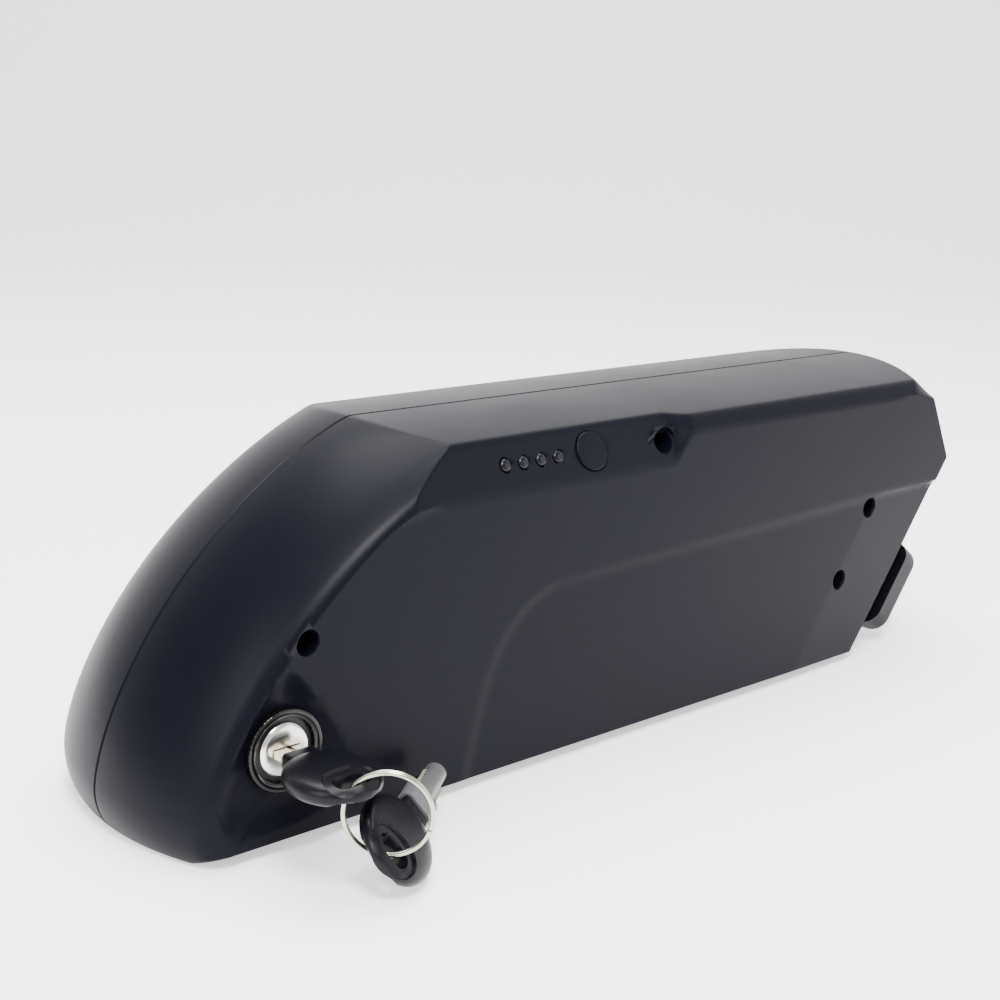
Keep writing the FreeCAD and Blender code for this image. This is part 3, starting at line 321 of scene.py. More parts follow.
# ---- finishes ------------------------------------------------------------------------------
@dataclass(frozen=True)
class Finish:
    """One finish: its colour, how it shines, and the texture of its surface."""

    slot: str
    colour: tuple[float, float, float]
    roughness: float = 0.5
    metallic: float = 0.0
    specular: float = 0.5
    grain_mm: float = 0.6
    grain_depth: float = 0.05
    mottle: float = 0.12
    mottle_mm: float = 18.0
    rough_spread: float = 0.06
    coat: float = 0.0
    coat_roughness: float = 0.1
    transmission: float = 0.0
    brushed: tuple[float, float, float] = (1.0, 1.0, 1.0)

    def material(self) -> bpy.types.Material:
        """The node material: fine grain in the bump, slow mottling in colour and roughness."""
        made = bpy.data.materials.new(self.slot)
        made.use_nodes = True
        tree = made.node_tree
        shader = tree.nodes["Principled BSDF"]
        shader.inputs["Metallic"].default_value = self.metallic
        shader.inputs["Specular IOR Level"].default_value = self.specular
        shader.inputs["Coat Weight"].default_value = self.coat
        shader.inputs["Coat Roughness"].default_value = self.coat_roughness
        shader.inputs["Transmission Weight"].default_value = self.transmission
        place = tree.nodes.new("ShaderNodeTexCoord")
        turn = tree.nodes.new("ShaderNodeMapping")
        turn.inputs["Scale"].default_value = self.brushed
        tree.links.new(place.outputs["Object"], turn.inputs["Vector"])
        slow = self.noise(tree, turn, 1.0 / (self.mottle_mm * MM), 3.0)
        fine = self.noise(tree, turn, 1.0 / (self.grain_mm * MM), 2.0)
        self.colour_nodes(tree, shader, slow)
        rough = self.spread_nodes(tree, slow, self.roughness, self.rough_spread)
        tree.links.new(rough.outputs["Result"], shader.inputs["Roughness"])
        bump = tree.nodes.new("ShaderNodeBump")
        bump.inputs["Strength"].default_value = 1.0
        bump.inputs["Distance"].default_value = self.grain_depth * MM
        tree.links.new(fine.outputs["Fac"], bump.inputs["Height"])
        tree.links.new(bump.outputs["Normal"], shader.inputs["Normal"])
        return made

    def noise(self, tree: bpy.types.NodeTree, turn: bpy.types.Node, scale: float,
              detail: float) -> bpy.types.Node:
        """A noise node at a scale, on the object's own coordinates."""
        node = tree.nodes.new("ShaderNodeTexNoise")
        node.inputs["Scale"].default_value = scale
        node.inputs["Detail"].default_value = detail
        tree.links.new(turn.outputs["Vector"], node.inputs["Vector"])
        return node

    def spread_nodes(self, tree: bpy.types.NodeTree, source: bpy.types.Node, middle: float,
                     reach: float) -> bpy.types.Node:
        """Maps a noise to a range about a middle value."""
        node = tree.nodes.new("ShaderNodeMapRange")
        node.inputs["From Min"].default_value = 0.3
        node.inputs["From Max"].default_value = 0.7
        node.inputs["To Min"].default_value = middle - reach
        node.inputs["To Max"].default_value = middle + reach
        tree.links.new(source.outputs["Fac"], node.inputs["Value"])
        return node

    def colour_nodes(self, tree: bpy.types.NodeTree, shader: bpy.types.Node, slow: bpy.types.Node) -> None:
        """Mottles the colour between a darker and a lighter shade."""
        ramp = tree.nodes.new("ShaderNodeValToRGB")
        ramp.color_ramp.elements[0].position = 0.3
        ramp.color_ramp.elements[1].position = 0.7
        ramp.color_ramp.elements[0].color = (*[c * (1 - self.mottle) for c in self.colour], 1.0)
        ramp.color_ramp.elements[1].color = (*[c * (1 + self.mottle) for c in self.colour], 1.0)
        tree.links.new(slow.outputs["Fac"], ramp.inputs["Fac"])
        tree.links.new(ramp.outputs["Color"], shader.inputs["Base Color"])


FINISHES = {finish.slot: finish for finish in (
    Finish("case_plastic", (0.0019, 0.0020, 0.0048), 0.37, specular=0.075, grain_mm=0.5, grain_depth=0.010,
           mottle=0.06, mottle_mm=40.0, rough_spread=0.025),
    Finish("seal_rubber", (0.003, 0.003, 0.0032), 0.75, specular=0.15, grain_mm=0.8),
    Finish("screw_steel", (0.10, 0.10, 0.11), 0.38, metallic=1.0, grain_mm=0.3, grain_depth=0.01),
    Finish("cell_wrap", (0.04, 0.22, 0.14), 0.30, grain_mm=2.0, grain_depth=0.02),
    Finish("holder_plastic", (0.03, 0.03, 0.034), 0.55),
    Finish("nickel", (0.62, 0.59, 0.54), 0.30, metallic=1.0, brushed=(0.1, 1.0, 3.0)),
    Finish("sheet_board", (0.52, 0.46, 0.33), 0.85, mottle=0.2, mottle_mm=2.0),
    Finish("foam", (0.05, 0.05, 0.052), 0.95, grain_mm=0.5, grain_depth=0.3),
    Finish("circuit_board", (0.015, 0.11, 0.04), 0.30, coat=0.4, mottle=0.25, mottle_mm=3.0),
    Finish("chip_plastic", (0.02, 0.02, 0.02), 0.55),
    Finish("heat_sink_metal", (0.60, 0.61, 0.63), 0.36, metallic=1.0, brushed=(0.1, 2.0, 2.0)),
    Finish("header_plastic", (0.78, 0.75, 0.66), 0.45),
    Finish("red_lead", (0.38, 0.012, 0.012), 0.45, grain_depth=0.02),
    Finish("black_lead", (0.014, 0.014, 0.014), 0.45, grain_depth=0.02),
    Finish("fuse_body", (0.05, 0.28, 0.05), 0.15, transmission=0.4),
    Finish("lens_plastic", (0.0030, 0.0030, 0.0050), 0.22, specular=0.2, grain_depth=0.004),
    Finish("button_spring_rubber", (0.30, 0.30, 0.31), 0.7),
    Finish("lamp", (0.75, 0.75, 0.68), 0.2, transmission=0.5),
    Finish("bezel_plastic", (0.002, 0.002, 0.0024), 0.10, specular=0.22, grain_depth=0.006, coat=0.12,
           coat_roughness=0.05),
    # painted shade: the zinc lock body is coloured near black so that where it shows, between the bezel and
    # the plug, it stands in for the shade in that gap
    Finish("lock_zinc", (0.012, 0.012, 0.013), 0.38, specular=0.3, grain_depth=0.01),
    Finish("lock_chrome", (0.74, 0.73, 0.70), 0.22, metallic=1.0, grain_mm=0.35, grain_depth=0.008,
           mottle=0.05, brushed=(0.3, 1.0, 2.0)),
    Finish("nut_brass", (0.70, 0.52, 0.24), 0.32, metallic=1.0, grain_depth=0.01),
    Finish("bow_plastic", (0.0026, 0.0026, 0.0044), 0.32, specular=0.14, grain_mm=0.4, grain_depth=0.014),
    Finish("key_nickel", (0.72, 0.66, 0.52), 0.26, metallic=1.0, grain_mm=0.3, grain_depth=0.012,
           mottle=0.08, mottle_mm=3.0, brushed=(0.2, 1.0, 3.0)),
    Finish("ring_steel", (0.50, 0.48, 0.39), 0.24, metallic=1.0, grain_depth=0.004),
    Finish("sleeve_plastic", (0.11, 0.11, 0.115), 0.32, specular=0.4, transmission=0.25, grain_mm=2.4,
           grain_depth=0.25),
    Finish("socket_plastic", (0.0035, 0.0035, 0.0055), 0.42, specular=0.2, grain_depth=0.015),
)}
MATERIALS: dict[str, bpy.types.Material] = {}


def dress(piece: bpy.types.Object, slot: str, body: Optional[str] = None,
          stands_for: Sequence[str] = ()) -> None:
    """Gives a piece its finish and its body, and hides the CAD nodes that it stands for.

    Args:
        piece: the new piece or the kept CAD node.
        slot: the record's material slot.
        body: the body that a new piece rides on.
        stands_for: the CAD nodes that a new piece replaces.
    """
    if slot not in MATERIALS:
        MATERIALS[slot] = FINISHES[slot].material()
    piece.data.materials.clear()
    piece.data.materials.append(MATERIALS[slot])
    if body is not None:
        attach(piece, body)
    if stands_for:
        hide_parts(*stands_for)
    LOG.info("%s: %d faces, %s", piece.name, len(piece.data.polygons), slot)


# ---- the case --------------------------------------------------------------------------------
@dataclass(frozen=True)
class CaseForm:
    """The case's form, in millimetres, as a function of a place round its outline and a
    reach from its middle plane."""

    length: float = 369.0
    half: float = 45.0
    height: float = 113.5
    wall: float = 2.6
    crown: float = 4.5
    side_lift: float = 4.0
    lift_width: float = 10.0
    nose_reach: float = 103.7
    nose_rise: float = 104.3
    nose_power: float = 1.556
    nose_tip_z: float = 12.5
    toe_radius: float = 21.5
    plan_low: float = 90.0
    plan_high: float = 50.0
    plan_swell: float = 0.3
    nose_edge: float = 12.0
    nose_round: float = 82.0
    nose_upper: float = 38.0
    tip_z: float = 76.0
    back_plan: float = 72.0
    back_edge: float = 5.0
    low_lean: float = 0.723
    high_run: float = 13.5
    high_rise: float = 25.5
    top_run: float = 12.0
    bevel_in: float = 4.0
    bevel_least: float = 2.8
    bevel_down: float = 5.5
    display_in: float = 7.8
    display_down: float = 16.3
    display_lip: float = 0.8
    jog_x: float = 5.0
    jog_run: float = 11.0
    panel_step: float = 0.6
    panel_run: float = 5.0
    hood_step: float = 0.6
    hood_run: float = 3.5
    facet_depth: float = 2.4
    facet_run: float = 45.0
    ledge_z: float = 66.5
    ledge_run: float = 1.2
    pocket_depth: float = 3.0
    pocket_slope: float = 7.5
    pocket_ease: float = 1.7
    rail_mouth: float = 14.0
    rail_inside: float = 18.5
    rail_lip: float = 3.0
    rail_depth: float = 8.5
    rail_front: float = -158.0
    hood: tuple[tuple[float, float], ...] = (
        (-180, 0), (-172, 18.6), (-156.2, 48.3), (-127, 83.3), (-109.6, 92.3), (-88, 97))
    panel: tuple[tuple[float, float], ...] = ((-84, -6), (-73.3, 34.3), (-62.5, 51.8), (-49.4, 59.8),
                                              (-32.3, 61.4), (56, 64), (122, 66), (190, 66))
    pocket: tuple[tuple[float, float], ...] = (
        (-171, 19), (-160, 41.5), (-147.5, 54), (-137, 43), (-127.5, 24), (-132, 11), (-160, 8))
    facet_foot: tuple[float, float] = (80.0, 4.0)
    facet_head: tuple[float, float] = (122.5, 66.5)

    def fall(self, radius: Array, edge: float, reach: Array) -> Array:
        """How far an arc falls back at a reach from the middle: the radius less the root
        of its square less the reach's, with a smaller arc where it turns into the side."""
        tangent = (self.half - edge) * radius / (radius - edge)
        arc = radius - np.sqrt(np.maximum(radius ** 2 - reach ** 2, 0.0))
        corner = radius - np.sqrt((radius - edge) ** 2 - (self.half - edge) ** 2)
        across = np.clip(reach - (self.half - edge), 0.0, edge)
        rounded = corner - np.sqrt(np.maximum(edge ** 2 - across ** 2, 0.0))
        return np.where(reach <= tangent, arc, rounded)

    def nose_fall(self, reach: Array, z: Array) -> Array:
        """How far the nose falls back: an arc that tightens with height, and deepens with
        the cube of the height."""
        share = np.clip(z / self.height, 0.0, 1.0)
        arc = self.fall(mix(self.plan_low, self.plan_high, share), self.nose_edge, reach)
        return arc * (1.0 + self.plan_swell * share ** 3)

    def back_fall(self, reach: Array) -> Array:
        """How far the back falls in."""
        return self.fall(np.asarray(self.back_plan), self.back_edge, reach)

    def upper_reach(self, share: Array) -> Array:
        """Where the bevel along the top starts: share 0 is the deep one, 1 the narrow one."""
        return self.half - mix(self.display_in, self.bevel_in, share)

    def top(self, reach: Array, share: Array, inset: Array) -> Array:
        """Height of the top: a parabola over the width, then a straight bevel to the side."""
        flat = self.half - self.bevel_in
        upper = self.upper_reach(share)
        edge_z = self.height - self.crown
        low = edge_z - mix(self.display_down - self.display_lip, self.bevel_down, share)
        crown = self.height - self.crown * (np.minimum(reach, flat) / flat) ** 2
        start = self.height - self.crown * (upper / flat) ** 2
        bevel = mix(start, low, np.clip((reach - upper) / (self.half - upper), 0.0, 1.0))
        return np.where(reach <= upper, crown, bevel) - inset

    def bottom(self, reach: Array, inset: Array) -> Array:
        """Height of the underside, which lifts in a straight bevel under each side."""
        return self.side_lift * np.clip((reach - self.half + self.lift_width) / self.lift_width, 0, 1) + inset

    def nose_line(self, z_share: Array, limit: Array, inset: Array) -> tuple[Array, Array]:
        """The nose's side view, even along its length: x falls as a power of the cosine and
        z rises as a power of the sine.

        Args:
            z_share: how far along the line, 0 at the tip and 1 at the limit.
            limit: the height where the line stops.
            inset: how far the form is taken in.

        Returns:
            x and z.
        """
        power = 2.0 / self.nose_power
        turn = np.linspace(0.0, math.pi / 2, 1500)
        line_x = -np.cos(turn) ** power * self.nose_reach
        line_z = np.sin(turn) ** power * self.nose_rise
        run = np.concatenate([[0.0], np.cumsum(np.hypot(np.diff(line_x), np.diff(line_z)))])
        stop = np.interp((limit - self.nose_tip_z) * self.nose_rise / (self.nose_rise - inset), line_z, run)
        place = z_share * stop
        x = np.interp(place, run, line_x) * (self.nose_reach - inset) / self.nose_reach
        z = np.interp(place, run, line_z) * (self.nose_rise - inset) / self.nose_rise
        return x - self.length / 2 + self.nose_reach, z + self.nose_tip_z

    def depth(self, x: Array, z: Array, side: Side) -> Array:
        """How much deeper than the flat side a place lies: the step behind the hood, the
        lower panel, the facet at the tail and, on the lock side, the lock's pocket."""
        hood = self.hood_step * smooth(offset_from(curve_through(self.hood), x, z) / self.hood_run)
        panel = self.panel_step * smooth(offset_from(curve_through(self.panel), x, z) / self.panel_run + 0.5)
        foot, head = np.array(self.facet_foot), np.array(self.facet_head)
        way = unit(head - foot)
        behind = (x - foot[0]) * way[1] - (z - foot[1]) * way[0]
        slope = self.facet_depth * np.maximum(behind, 0.0) / self.facet_run
        facet = slope * smooth((self.ledge_z + self.ledge_run / 2 - z) / self.ledge_run)
        total = hood + panel + facet
        if side is Side.LOCK:
            inside = offset_from(curve_through(self.pocket, closed=True), x, z, closed=True)
            ramp = np.clip(inside / self.pocket_slope, 0.0, 1.0)
            eased = 1.0 - (1.0 - ramp) ** self.pocket_ease
            total = total + (self.pocket_depth - hood) * eased * (inside > 0)
        return total

    def bevel_spot(self, x: float, down: float, out: float = 0.0) -> Spot:
        """A spot on the display bevel: across is +X, along climbs the bevel, down is counted
        from its upper edge."""
        long = math.hypot(self.display_in, self.display_down)
        way_up = np.array([0.0, self.display_in, self.display_down]) / long
        way_out = np.array([0.0, -self.display_down, self.display_in]) / long
        top = np.array([x, -self.half + self.display_in, self.height - self.crown + self.display_lip])
        return Spot(top - way_up * down + way_out * out, np.array([1.0, 0.0, 0.0]), way_up)


@dataclass
class Skin:
    """One skin of a half shell: a grid with rows from the seam, over the edge, to the
    middle of the side, and columns round the outline."""

    form: CaseForm
    side: Side
    inset: float
    fineness: float
    points: Array = field(default_factory=lambda: np.zeros(0))
    numbers: Array = field(default_factory=lambda: np.zeros(0))
    cut: Array = field(default_factory=lambda: np.zeros(0))

    SEAM: ClassVar[float] = 0.12
    JOINT: ClassVar[float] = 1.3
    GROOVE_DEEP: ClassVar[float] = 0.55
    GROOVE_WIDE: ClassVar[float] = 0.5
    TIP_DIP: ClassVar[float] = 1.15
    CORE_Z: ClassVar[float] = 54.0
    HOLE: ClassVar[tuple[float, float, float]] = (30.0, 9.5, 27.6)
    CORE_X: ClassVar[tuple[float, float]] = (-98.0, 84.0)

    def build(self, maker: MeshMaker) -> None:
        """Works out the grid's points: outline columns by reach rows, then the side's rows."""
        self.count_rows()
        band = self.band_points(self.columns())
        side = self.side_points(band[-1])
        grid = np.concatenate([band, side], axis=0)
        grid = self.press(grid, len(band))
        for row in (self.row_upper, len(band) - 1):
            grid = self.round_rows(grid, row)
        for column in self.creases:
            grid = self.round_columns(grid, column)
        grid[..., 1] *= self.side.value
        self.points = grid
        self.numbers = maker.add(grid)
        self.cut = np.zeros((grid.shape[0] - 1, grid.shape[1]), bool)

    def steps(self, count: float) -> int:
        """A count of steps at this skin's fineness."""
        return max(2, int(round(count * self.fineness)))

    def count_rows(self) -> None:
        """Numbers the band's rows: channel roof, its side, its lip, the flat, then the bevel."""
        self.row_roof = 9
        self.row_side = self.row_roof + 3
        self.row_under = self.row_side + 3
        self.row_lip = self.row_under + 3
        self.row_flat = self.row_lip + self.steps(8)
        self.row_upper = self.row_flat + 3
        self.bevel_steps = self.steps(18)

    def columns(self) -> dict[str, Array]:
        """Shares of each run round the outline, in order from the toe."""
        fillet = self.JOINT
        runs = {
            "toe": spread(fillet / 14, self.steps(5), stop=False)[:-1],
            "nose": spread(fillet / 150, self.steps(128), start=False),
            "top": spread(fillet / 240, self.steps(292))[1:],
            "back_a": spread(fillet / 14, self.steps(9))[1:],
            "back_b": spread(fillet / 29, self.steps(20))[1:],
            "back_low": spread(fillet / 94, self.steps(56))[1:],
            "foot": np.ones(1),
            "rail": np.linspace(0.0, 1.0, self.steps(150) + 1)[1:],
            "flat": np.concatenate([[0.0, 0.0], spread(fillet / 22, self.steps(14), start=False)[1:-1]]),
        }
        ends = np.cumsum([len(run) for run in runs.values()])
        names = list(runs)
        self.starts = dict(zip(names, np.concatenate([[0], ends[:-1]])))
        self.levels = np.concatenate([place + run for place, run in enumerate(runs.values())])
        at = {name: int(end) - 1 for name, end in zip(names, ends)}
        self.creases = [at["nose"], at["top"], at["back_a"], at["back_b"], 0]
        return runs

    def standard_reach(self, upper: Array, limit: float, arc: Array) -> Array:
        """Reach of every band row, for columns whose bevel starts at a given reach.

        Args:
            upper: where the bevel or the rounding starts, one value a column.
            limit: the reach of the flat side.
            arc: 1 where the rows bunch towards the side, 0 where they are even.

        Returns:
            The reaches, rows by columns.
        """
        seam = self.SEAM
        inner = self.form.rail_inside + (self.inset if self.inset > 1 else 0.0)
        close = 0.5 if self.fineness > 0.9 else 1.0
        start = [seam, seam + 0.14, seam + close]
        first = np.concatenate([start, np.linspace(seam + 1.8, inner, self.row_roof - 2)])
        middle = np.linspace(inner, inner + 8.0, self.row_lip - self.row_roof + 1)[1:]
        rest = np.linspace(0.0, 1.0, self.row_flat - self.row_lip + 1)[1:, None]
        flat = mix(inner + 8.0, upper[None, :] - self.JOINT, rest)
        near = upper[None, :] + np.array([-2, -1, 0, 1, 2, 3])[:, None] * self.JOINT / 3
        share = np.linspace(0.0, 1.0, self.bevel_steps + 1)[1:, None]
        bunched = np.sin(share * math.pi / 2)
        place = mix(share, bunched, arc[None, :])
        bevel = mix(upper[None, :] + self.JOINT, limit - self.JOINT * (1 - arc[None, :]) * 0.8, place)
        last = limit - np.array([2, 1, 0])[:, None] * self.JOINT * 0.8 / 3 * (1 - arc[None, :])
        width = len(upper)
        even = [np.repeat(part[:, None], width, 1) for part in (first, middle)]
        return np.vstack([*even, flat, near, bevel, last])

    def band_points(self, runs: dict[str, Array]) -> Array:
        """The band's points: for each run of the outline, its own formula.

        Args:
            runs: the shares of each run.

        Returns:
            Points, rows by columns, with the reach as Y.
        """
        form = self.form
        limit = form.half - self.inset
        one = np.ones(1)
        deep = np.zeros(1) if self.side is Side.LOCK else one
        tangent = (form.half - form.nose_edge) * form.nose_round / (form.nose_round - form.nose_edge)
        blocks = []
        nose_upper = form.upper_reach(deep)
        for name in ("toe", "nose"):
            share = runs[name]
            drop = smooth(1.0 - share / 0.9) if name == "nose" else np.ones(len(share))
            upper = mix(nose_upper, min(tangent, form.nose_upper), drop)
            upper = np.minimum(upper, limit - form.bevel_least)
            reach = self.standard_reach(upper, limit, np.ones(len(share)))
            dip = self.dip(reach)
            if name == "toe":
                z = mix(form.bottom(reach, dip), form.nose_tip_z, share[None, :])
                radius = form.toe_radius - dip
                x = -form.length / 2 + dip + radius - np.sqrt(radius ** 2 - (form.nose_tip_z - z) ** 2)
            else:
                stop = form.top(reach, deep, dip)
                x, z = form.nose_line(np.broadcast_to(share[None, :], reach.shape), stop, dip)
            blocks.append(np.stack([x + form.nose_fall(reach, z), reach, z], axis=-1))
        shoulder = blocks[-1][:, -1]
        blocks.append(self.top_points(shoulder, runs["top"], limit))
        blocks += self.back_blocks(runs, limit)
        foot = blocks[-1][:, -1]
        blocks += self.bottom_blocks(foot, blocks[0][:, 0], runs)
        return np.concatenate(blocks, axis=1)

    def dip(self, reach: Array) -> Array:
        """How far the skin is taken in at a reach: a small round groove runs along the seam."""
        groove = self.GROOVE_DEEP * np.clip(1.0 - (reach - self.SEAM) / self.GROOVE_WIDE, 0.0, 1.0) ** 1.5
        return self.inset + groove * (1.0 if self.inset < 1 else 0.0)

    def top_points(self, shoulder: Array, share: Array, limit: float) -> Array:
        """The top: x runs straight from the nose's shoulder to the back's first edge, and
        the deep bevel gives way to the narrow one over the jog."""
        form = self.form
        end_x = form.length / 2 - form.high_run - form.top_run - self.inset
        arc = np.maximum(1.0 - smooth(share / 0.04), smooth((share - 0.96) / 0.04))
        uppers = [min(form.upper_reach(kind), limit - form.bevel_least) for kind in (0.0, 1.0)]
        deep, thin = (self.standard_reach(np.full(len(share), upper), limit, arc) for upper in uppers)
        x = mix(shoulder[:, :1], end_x - form.back_fall(thin[:, -1:]), share[None, :])
        narrow = smooth((x - form.jog_x) / form.jog_run) if self.side is Side.LOCK else np.ones(x.shape)
        reach = mix(deep, thin, narrow)
        z = form.top(reach, narrow, self.dip(reach))
        return np.stack([x, reach, z], axis=-1)

    def back_blocks(self, runs: dict[str, Array], limit: float) -> list[Array]:
        """The back's three faces, one block each: straight between corners that fall in."""
        form = self.form
        upper = form.upper_reach(np.ones(1))
        arc = np.ones(1)
        reach = self.standard_reach(np.minimum(upper, limit - form.bevel_least), limit, arc)
        dip = self.dip(reach)
        fall = form.back_fall(reach)
        tip_x = form.length / 2 - dip * self.TIP_DIP - fall
        top_z = form.top(reach, np.ones(1), dip)
        head_z = np.minimum(form.tip_z + form.high_rise - dip * 0.45, top_z - 0.5)
        corners = [np.stack([tip_x - form.high_run - form.top_run, reach, top_z], -1),
                   np.stack([tip_x - form.high_run, reach, head_z], -1),
                   np.stack([tip_x, reach, form.tip_z - dip * 0.1], -1)]
        blocks = [mix(a, b, runs[name][None, :, None])
                  for a, b, name in zip(corners, corners[1:], ("back_a", "back_b"))]
        rail_reach, rail_z = self.rail_rows(reach[:, 0], mouth=False)
        share = runs["back_low"][None, :]
        z = mix(corners[2][:, :, 2], rail_z[:, None], share)
        low_reach = mix(reach, rail_reach[:, None], smooth((share - 0.4) / 0.6))
        x = (form.length / 2 - dip * self.TIP_DIP - form.back_fall(low_reach)
             - form.low_lean * (form.tip_z - z))
        blocks.append(np.stack([x, low_reach, z], axis=-1))
        foot_reach, foot_z = self.rail_rows(reach[:, 0], mouth=True)
        foot_x = (form.length / 2 - dip[:, 0] * self.TIP_DIP - form.back_fall(foot_reach)
                  - form.low_lean * (form.tip_z - foot_z))
        blocks.append(np.stack([foot_x, foot_reach, foot_z], axis=-1)[:, None])
        return blocks

    def rail_rows(self, reach: Array, mouth: bool) -> tuple[Array, Array]:
        """Reach and height of the rows where they line the rail channel.

        Args:
            reach: the rows' usual reaches.
            mouth: whether the lip is drawn in to the mouth, or is still one with the side wall.

        Returns:
            Reach and height, one value a row.
        """
        form = self.form
        inner = self.inset > 1
        wide = form.rail_inside + (self.inset if inner else 0.0)
        roof_z = form.rail_depth + (self.inset if inner else 0.0)
        lip_z = self.inset if inner else form.rail_lip
        narrow = wide if inner or not mouth else form.rail_mouth
        out = reach.copy()
        z = form.bottom(reach, np.asarray(self.inset))
        roof = slice(0, self.row_roof + 1)
        z[roof] = roof_z + (self.dip(reach[roof]) - self.inset)
        wall = slice(self.row_roof + 1, self.row_side + 1)
        out[wall], z[wall] = wide, np.linspace(roof_z, lip_z, 4)[1:]
        under = slice(self.row_side + 1, self.row_under + 1)
        end = slice(self.row_under + 1, self.row_lip + 1)
        if mouth and not inner:
            out[under], z[under] = np.linspace(wide, narrow, 4)[1:], lip_z
            out[end], z[end] = narrow, np.linspace(lip_z, 0.0, 4)[1:]
        else:
            base = 0.0 if not inner else self.inset
            out[under], z[under] = wide, np.linspace(lip_z, mix(lip_z, base, 0.5), 4)[1:]
            out[end], z[end] = wide, np.linspace(mix(lip_z, base, 0.5), base, 4)[1:]
        flat = slice(self.row_lip + 1, self.row_flat + 1)
        count = self.row_flat - self.row_lip
        out[flat] = mix(out[self.row_lip], form.half - form.lift_width, np.linspace(0, 1, count + 1)[1:])
        past = slice(self.row_flat + 1, len(reach))
        usual = reach[past]
        share = (usual - usual[0]) / (usual[-1] - usual[0])
        out[past] = mix(form.half - form.lift_width + 0.4, usual[-1], share)
        z[self.row_lip + 1:] = form.bottom(out[self.row_lip + 1:], np.asarray(self.inset))
        return out, z

    def bottom_blocks(self, foot: Array, toe: Array, runs: dict[str, Array]) -> list[Array]:
        """The underside, with the rail channel up to its front wall, then flat to the toe."""
        form = self.form
        front = form.rail_front - (self.inset if self.inset > 1 else 0.0)
        wall_line = foot.copy()
        wall_line[:, 0] = front
        rail = mix(foot[:, None], wall_line[:, None], runs["rail"][None, :, None])
        mouth_line = wall_line.copy()
        narrow = form.rail_mouth / form.rail_inside if self.inset < 1 else 1.0
        lip_z = form.rail_lip if self.inset < 1 else self.inset
        inside = slice(0, self.row_under + 1)
        mouth_line[inside, 1] *= narrow
        mouth_line[self.row_roof:self.row_under + 1, 1] = mouth_line[self.row_under, 1] if self.inset > 1 \
            else form.rail_mouth
        mouth_line[inside, 2] = lip_z
        flat_line = mouth_line.copy()
        flat_line[:self.row_lip + 1, 2] = self.inset if self.inset > 1 else 0.0
        share = runs["flat"][2:]
        flat = mix(flat_line[:, None], toe[:, None], share[None, :, None])
        flat[..., 2] = form.bottom(flat[..., 1], np.asarray(self.inset))
        return [rail, mouth_line[:, None], flat_line[:, None], flat]

    def side_points(self, rim: Array) -> Array:
        """The flat side: straight lines from the rim to a thin loop along its middle."""
        upper = rim[:, 2] > self.CORE_Z
        core = np.stack([np.clip(rim[:, 0], *self.CORE_X), rim[:, 1],
                         np.where(upper, self.CORE_Z + 0.6, self.CORE_Z - 0.6)], axis=-1)
        length = np.linalg.norm(core - rim, axis=1)
        near = np.linspace(0.0, 1.0, 4)[1:, None] * self.JOINT / length[None, :]
        rest = np.linspace(0.0, 1.0, self.steps(46) + 1)[1:, None]
        share = np.vstack([near, mix(near[-1:], 1.0, rest)])
        return mix(rim[None], core[None], share[..., None])

    def close_core(self, maker: MeshMaker) -> None:
        """Closes the loop in the middle of the side by joining its upper and lower lines."""
        upper = np.nonzero(self.points[-1, :, 2] > self.CORE_Z)[0]
        count = self.points.shape[1]
        lower = np.arange(upper[0] - 1, upper[-1] - count, -1) % count
        levels = [(self.points[-1, line, 0] - self.CORE_X[0]) / (self.CORE_X[1] - self.CORE_X[0])
                  for line in (upper, lower)]
        maker.zip_lines(self.numbers[-1, upper], self.numbers[-1, lower], *levels)

    def press(self, grid: Array, band_rows: int) -> Array:
        """Presses the side's features in: no point stands out past the side at its place."""
        depth = self.form.depth(grid[..., 0], grid[..., 2], self.side)
        limit = self.form.half - self.inset - depth
        pressed = grid.copy()
        pressed[..., 1] = np.minimum(grid[..., 1], limit)
        pressed[band_rows:, :, 1] = limit[band_rows:]
        return pressed

    def round_rows(self, grid: Array, row: int) -> Array:
        """Rounds the edge along a row: the six steps about it follow a quadratic curve whose
        handle is the sharp edge."""
        t = np.linspace(0.0, 1.0, 7)[:, None, None]
        first, edge, last = grid[row - 3], grid[row], grid[row + 3]
        rounded = grid.copy()
        rounded[row - 3:row + 4] = (1 - t) ** 2 * first + 2 * t * (1 - t) * edge + t ** 2 * last
        return rounded

    def round_columns(self, grid: Array, column: int) -> Array:
        """Rounds the edge along a column, as round_rows does along a row."""
        at = (column + np.arange(-3, 4)) % grid.shape[1]
        t = np.linspace(0.0, 1.0, 7)[None, :, None]
        first, edge, last = grid[:, at[0]][:, None], grid[:, at[3]][:, None], grid[:, at[6]][:, None]
        rounded = grid.copy()
        rounded[:, at] = (1 - t) ** 2 * first + 2 * t * (1 - t) * edge + t ** 2 * last
        return rounded

    def settle(self, points: Array) -> Array:
        """Puts points on the side's surface, or on the bevel over it, at their x and z."""
        form = self.form
        x, z = points[..., 0], points[..., 2]
        depth = form.depth(x, z, self.side)
        narrow = smooth((x - form.jog_x) / form.jog_run) if self.side is Side.LOCK else np.ones(x.shape)
        upper = form.upper_reach(narrow)
        low = form.height - form.crown - mix(form.display_down - form.display_lip, form.bevel_down, narrow)
        start = form.height - form.crown * (upper / (form.half - form.bevel_in)) ** 2
        bevel = mix(form.half, upper, (z + self.inset - low) / (start - low))
        settled = points.copy()
        settled[..., 1] = self.side.value * np.minimum(form.half - self.inset - depth, bevel)
        return settled

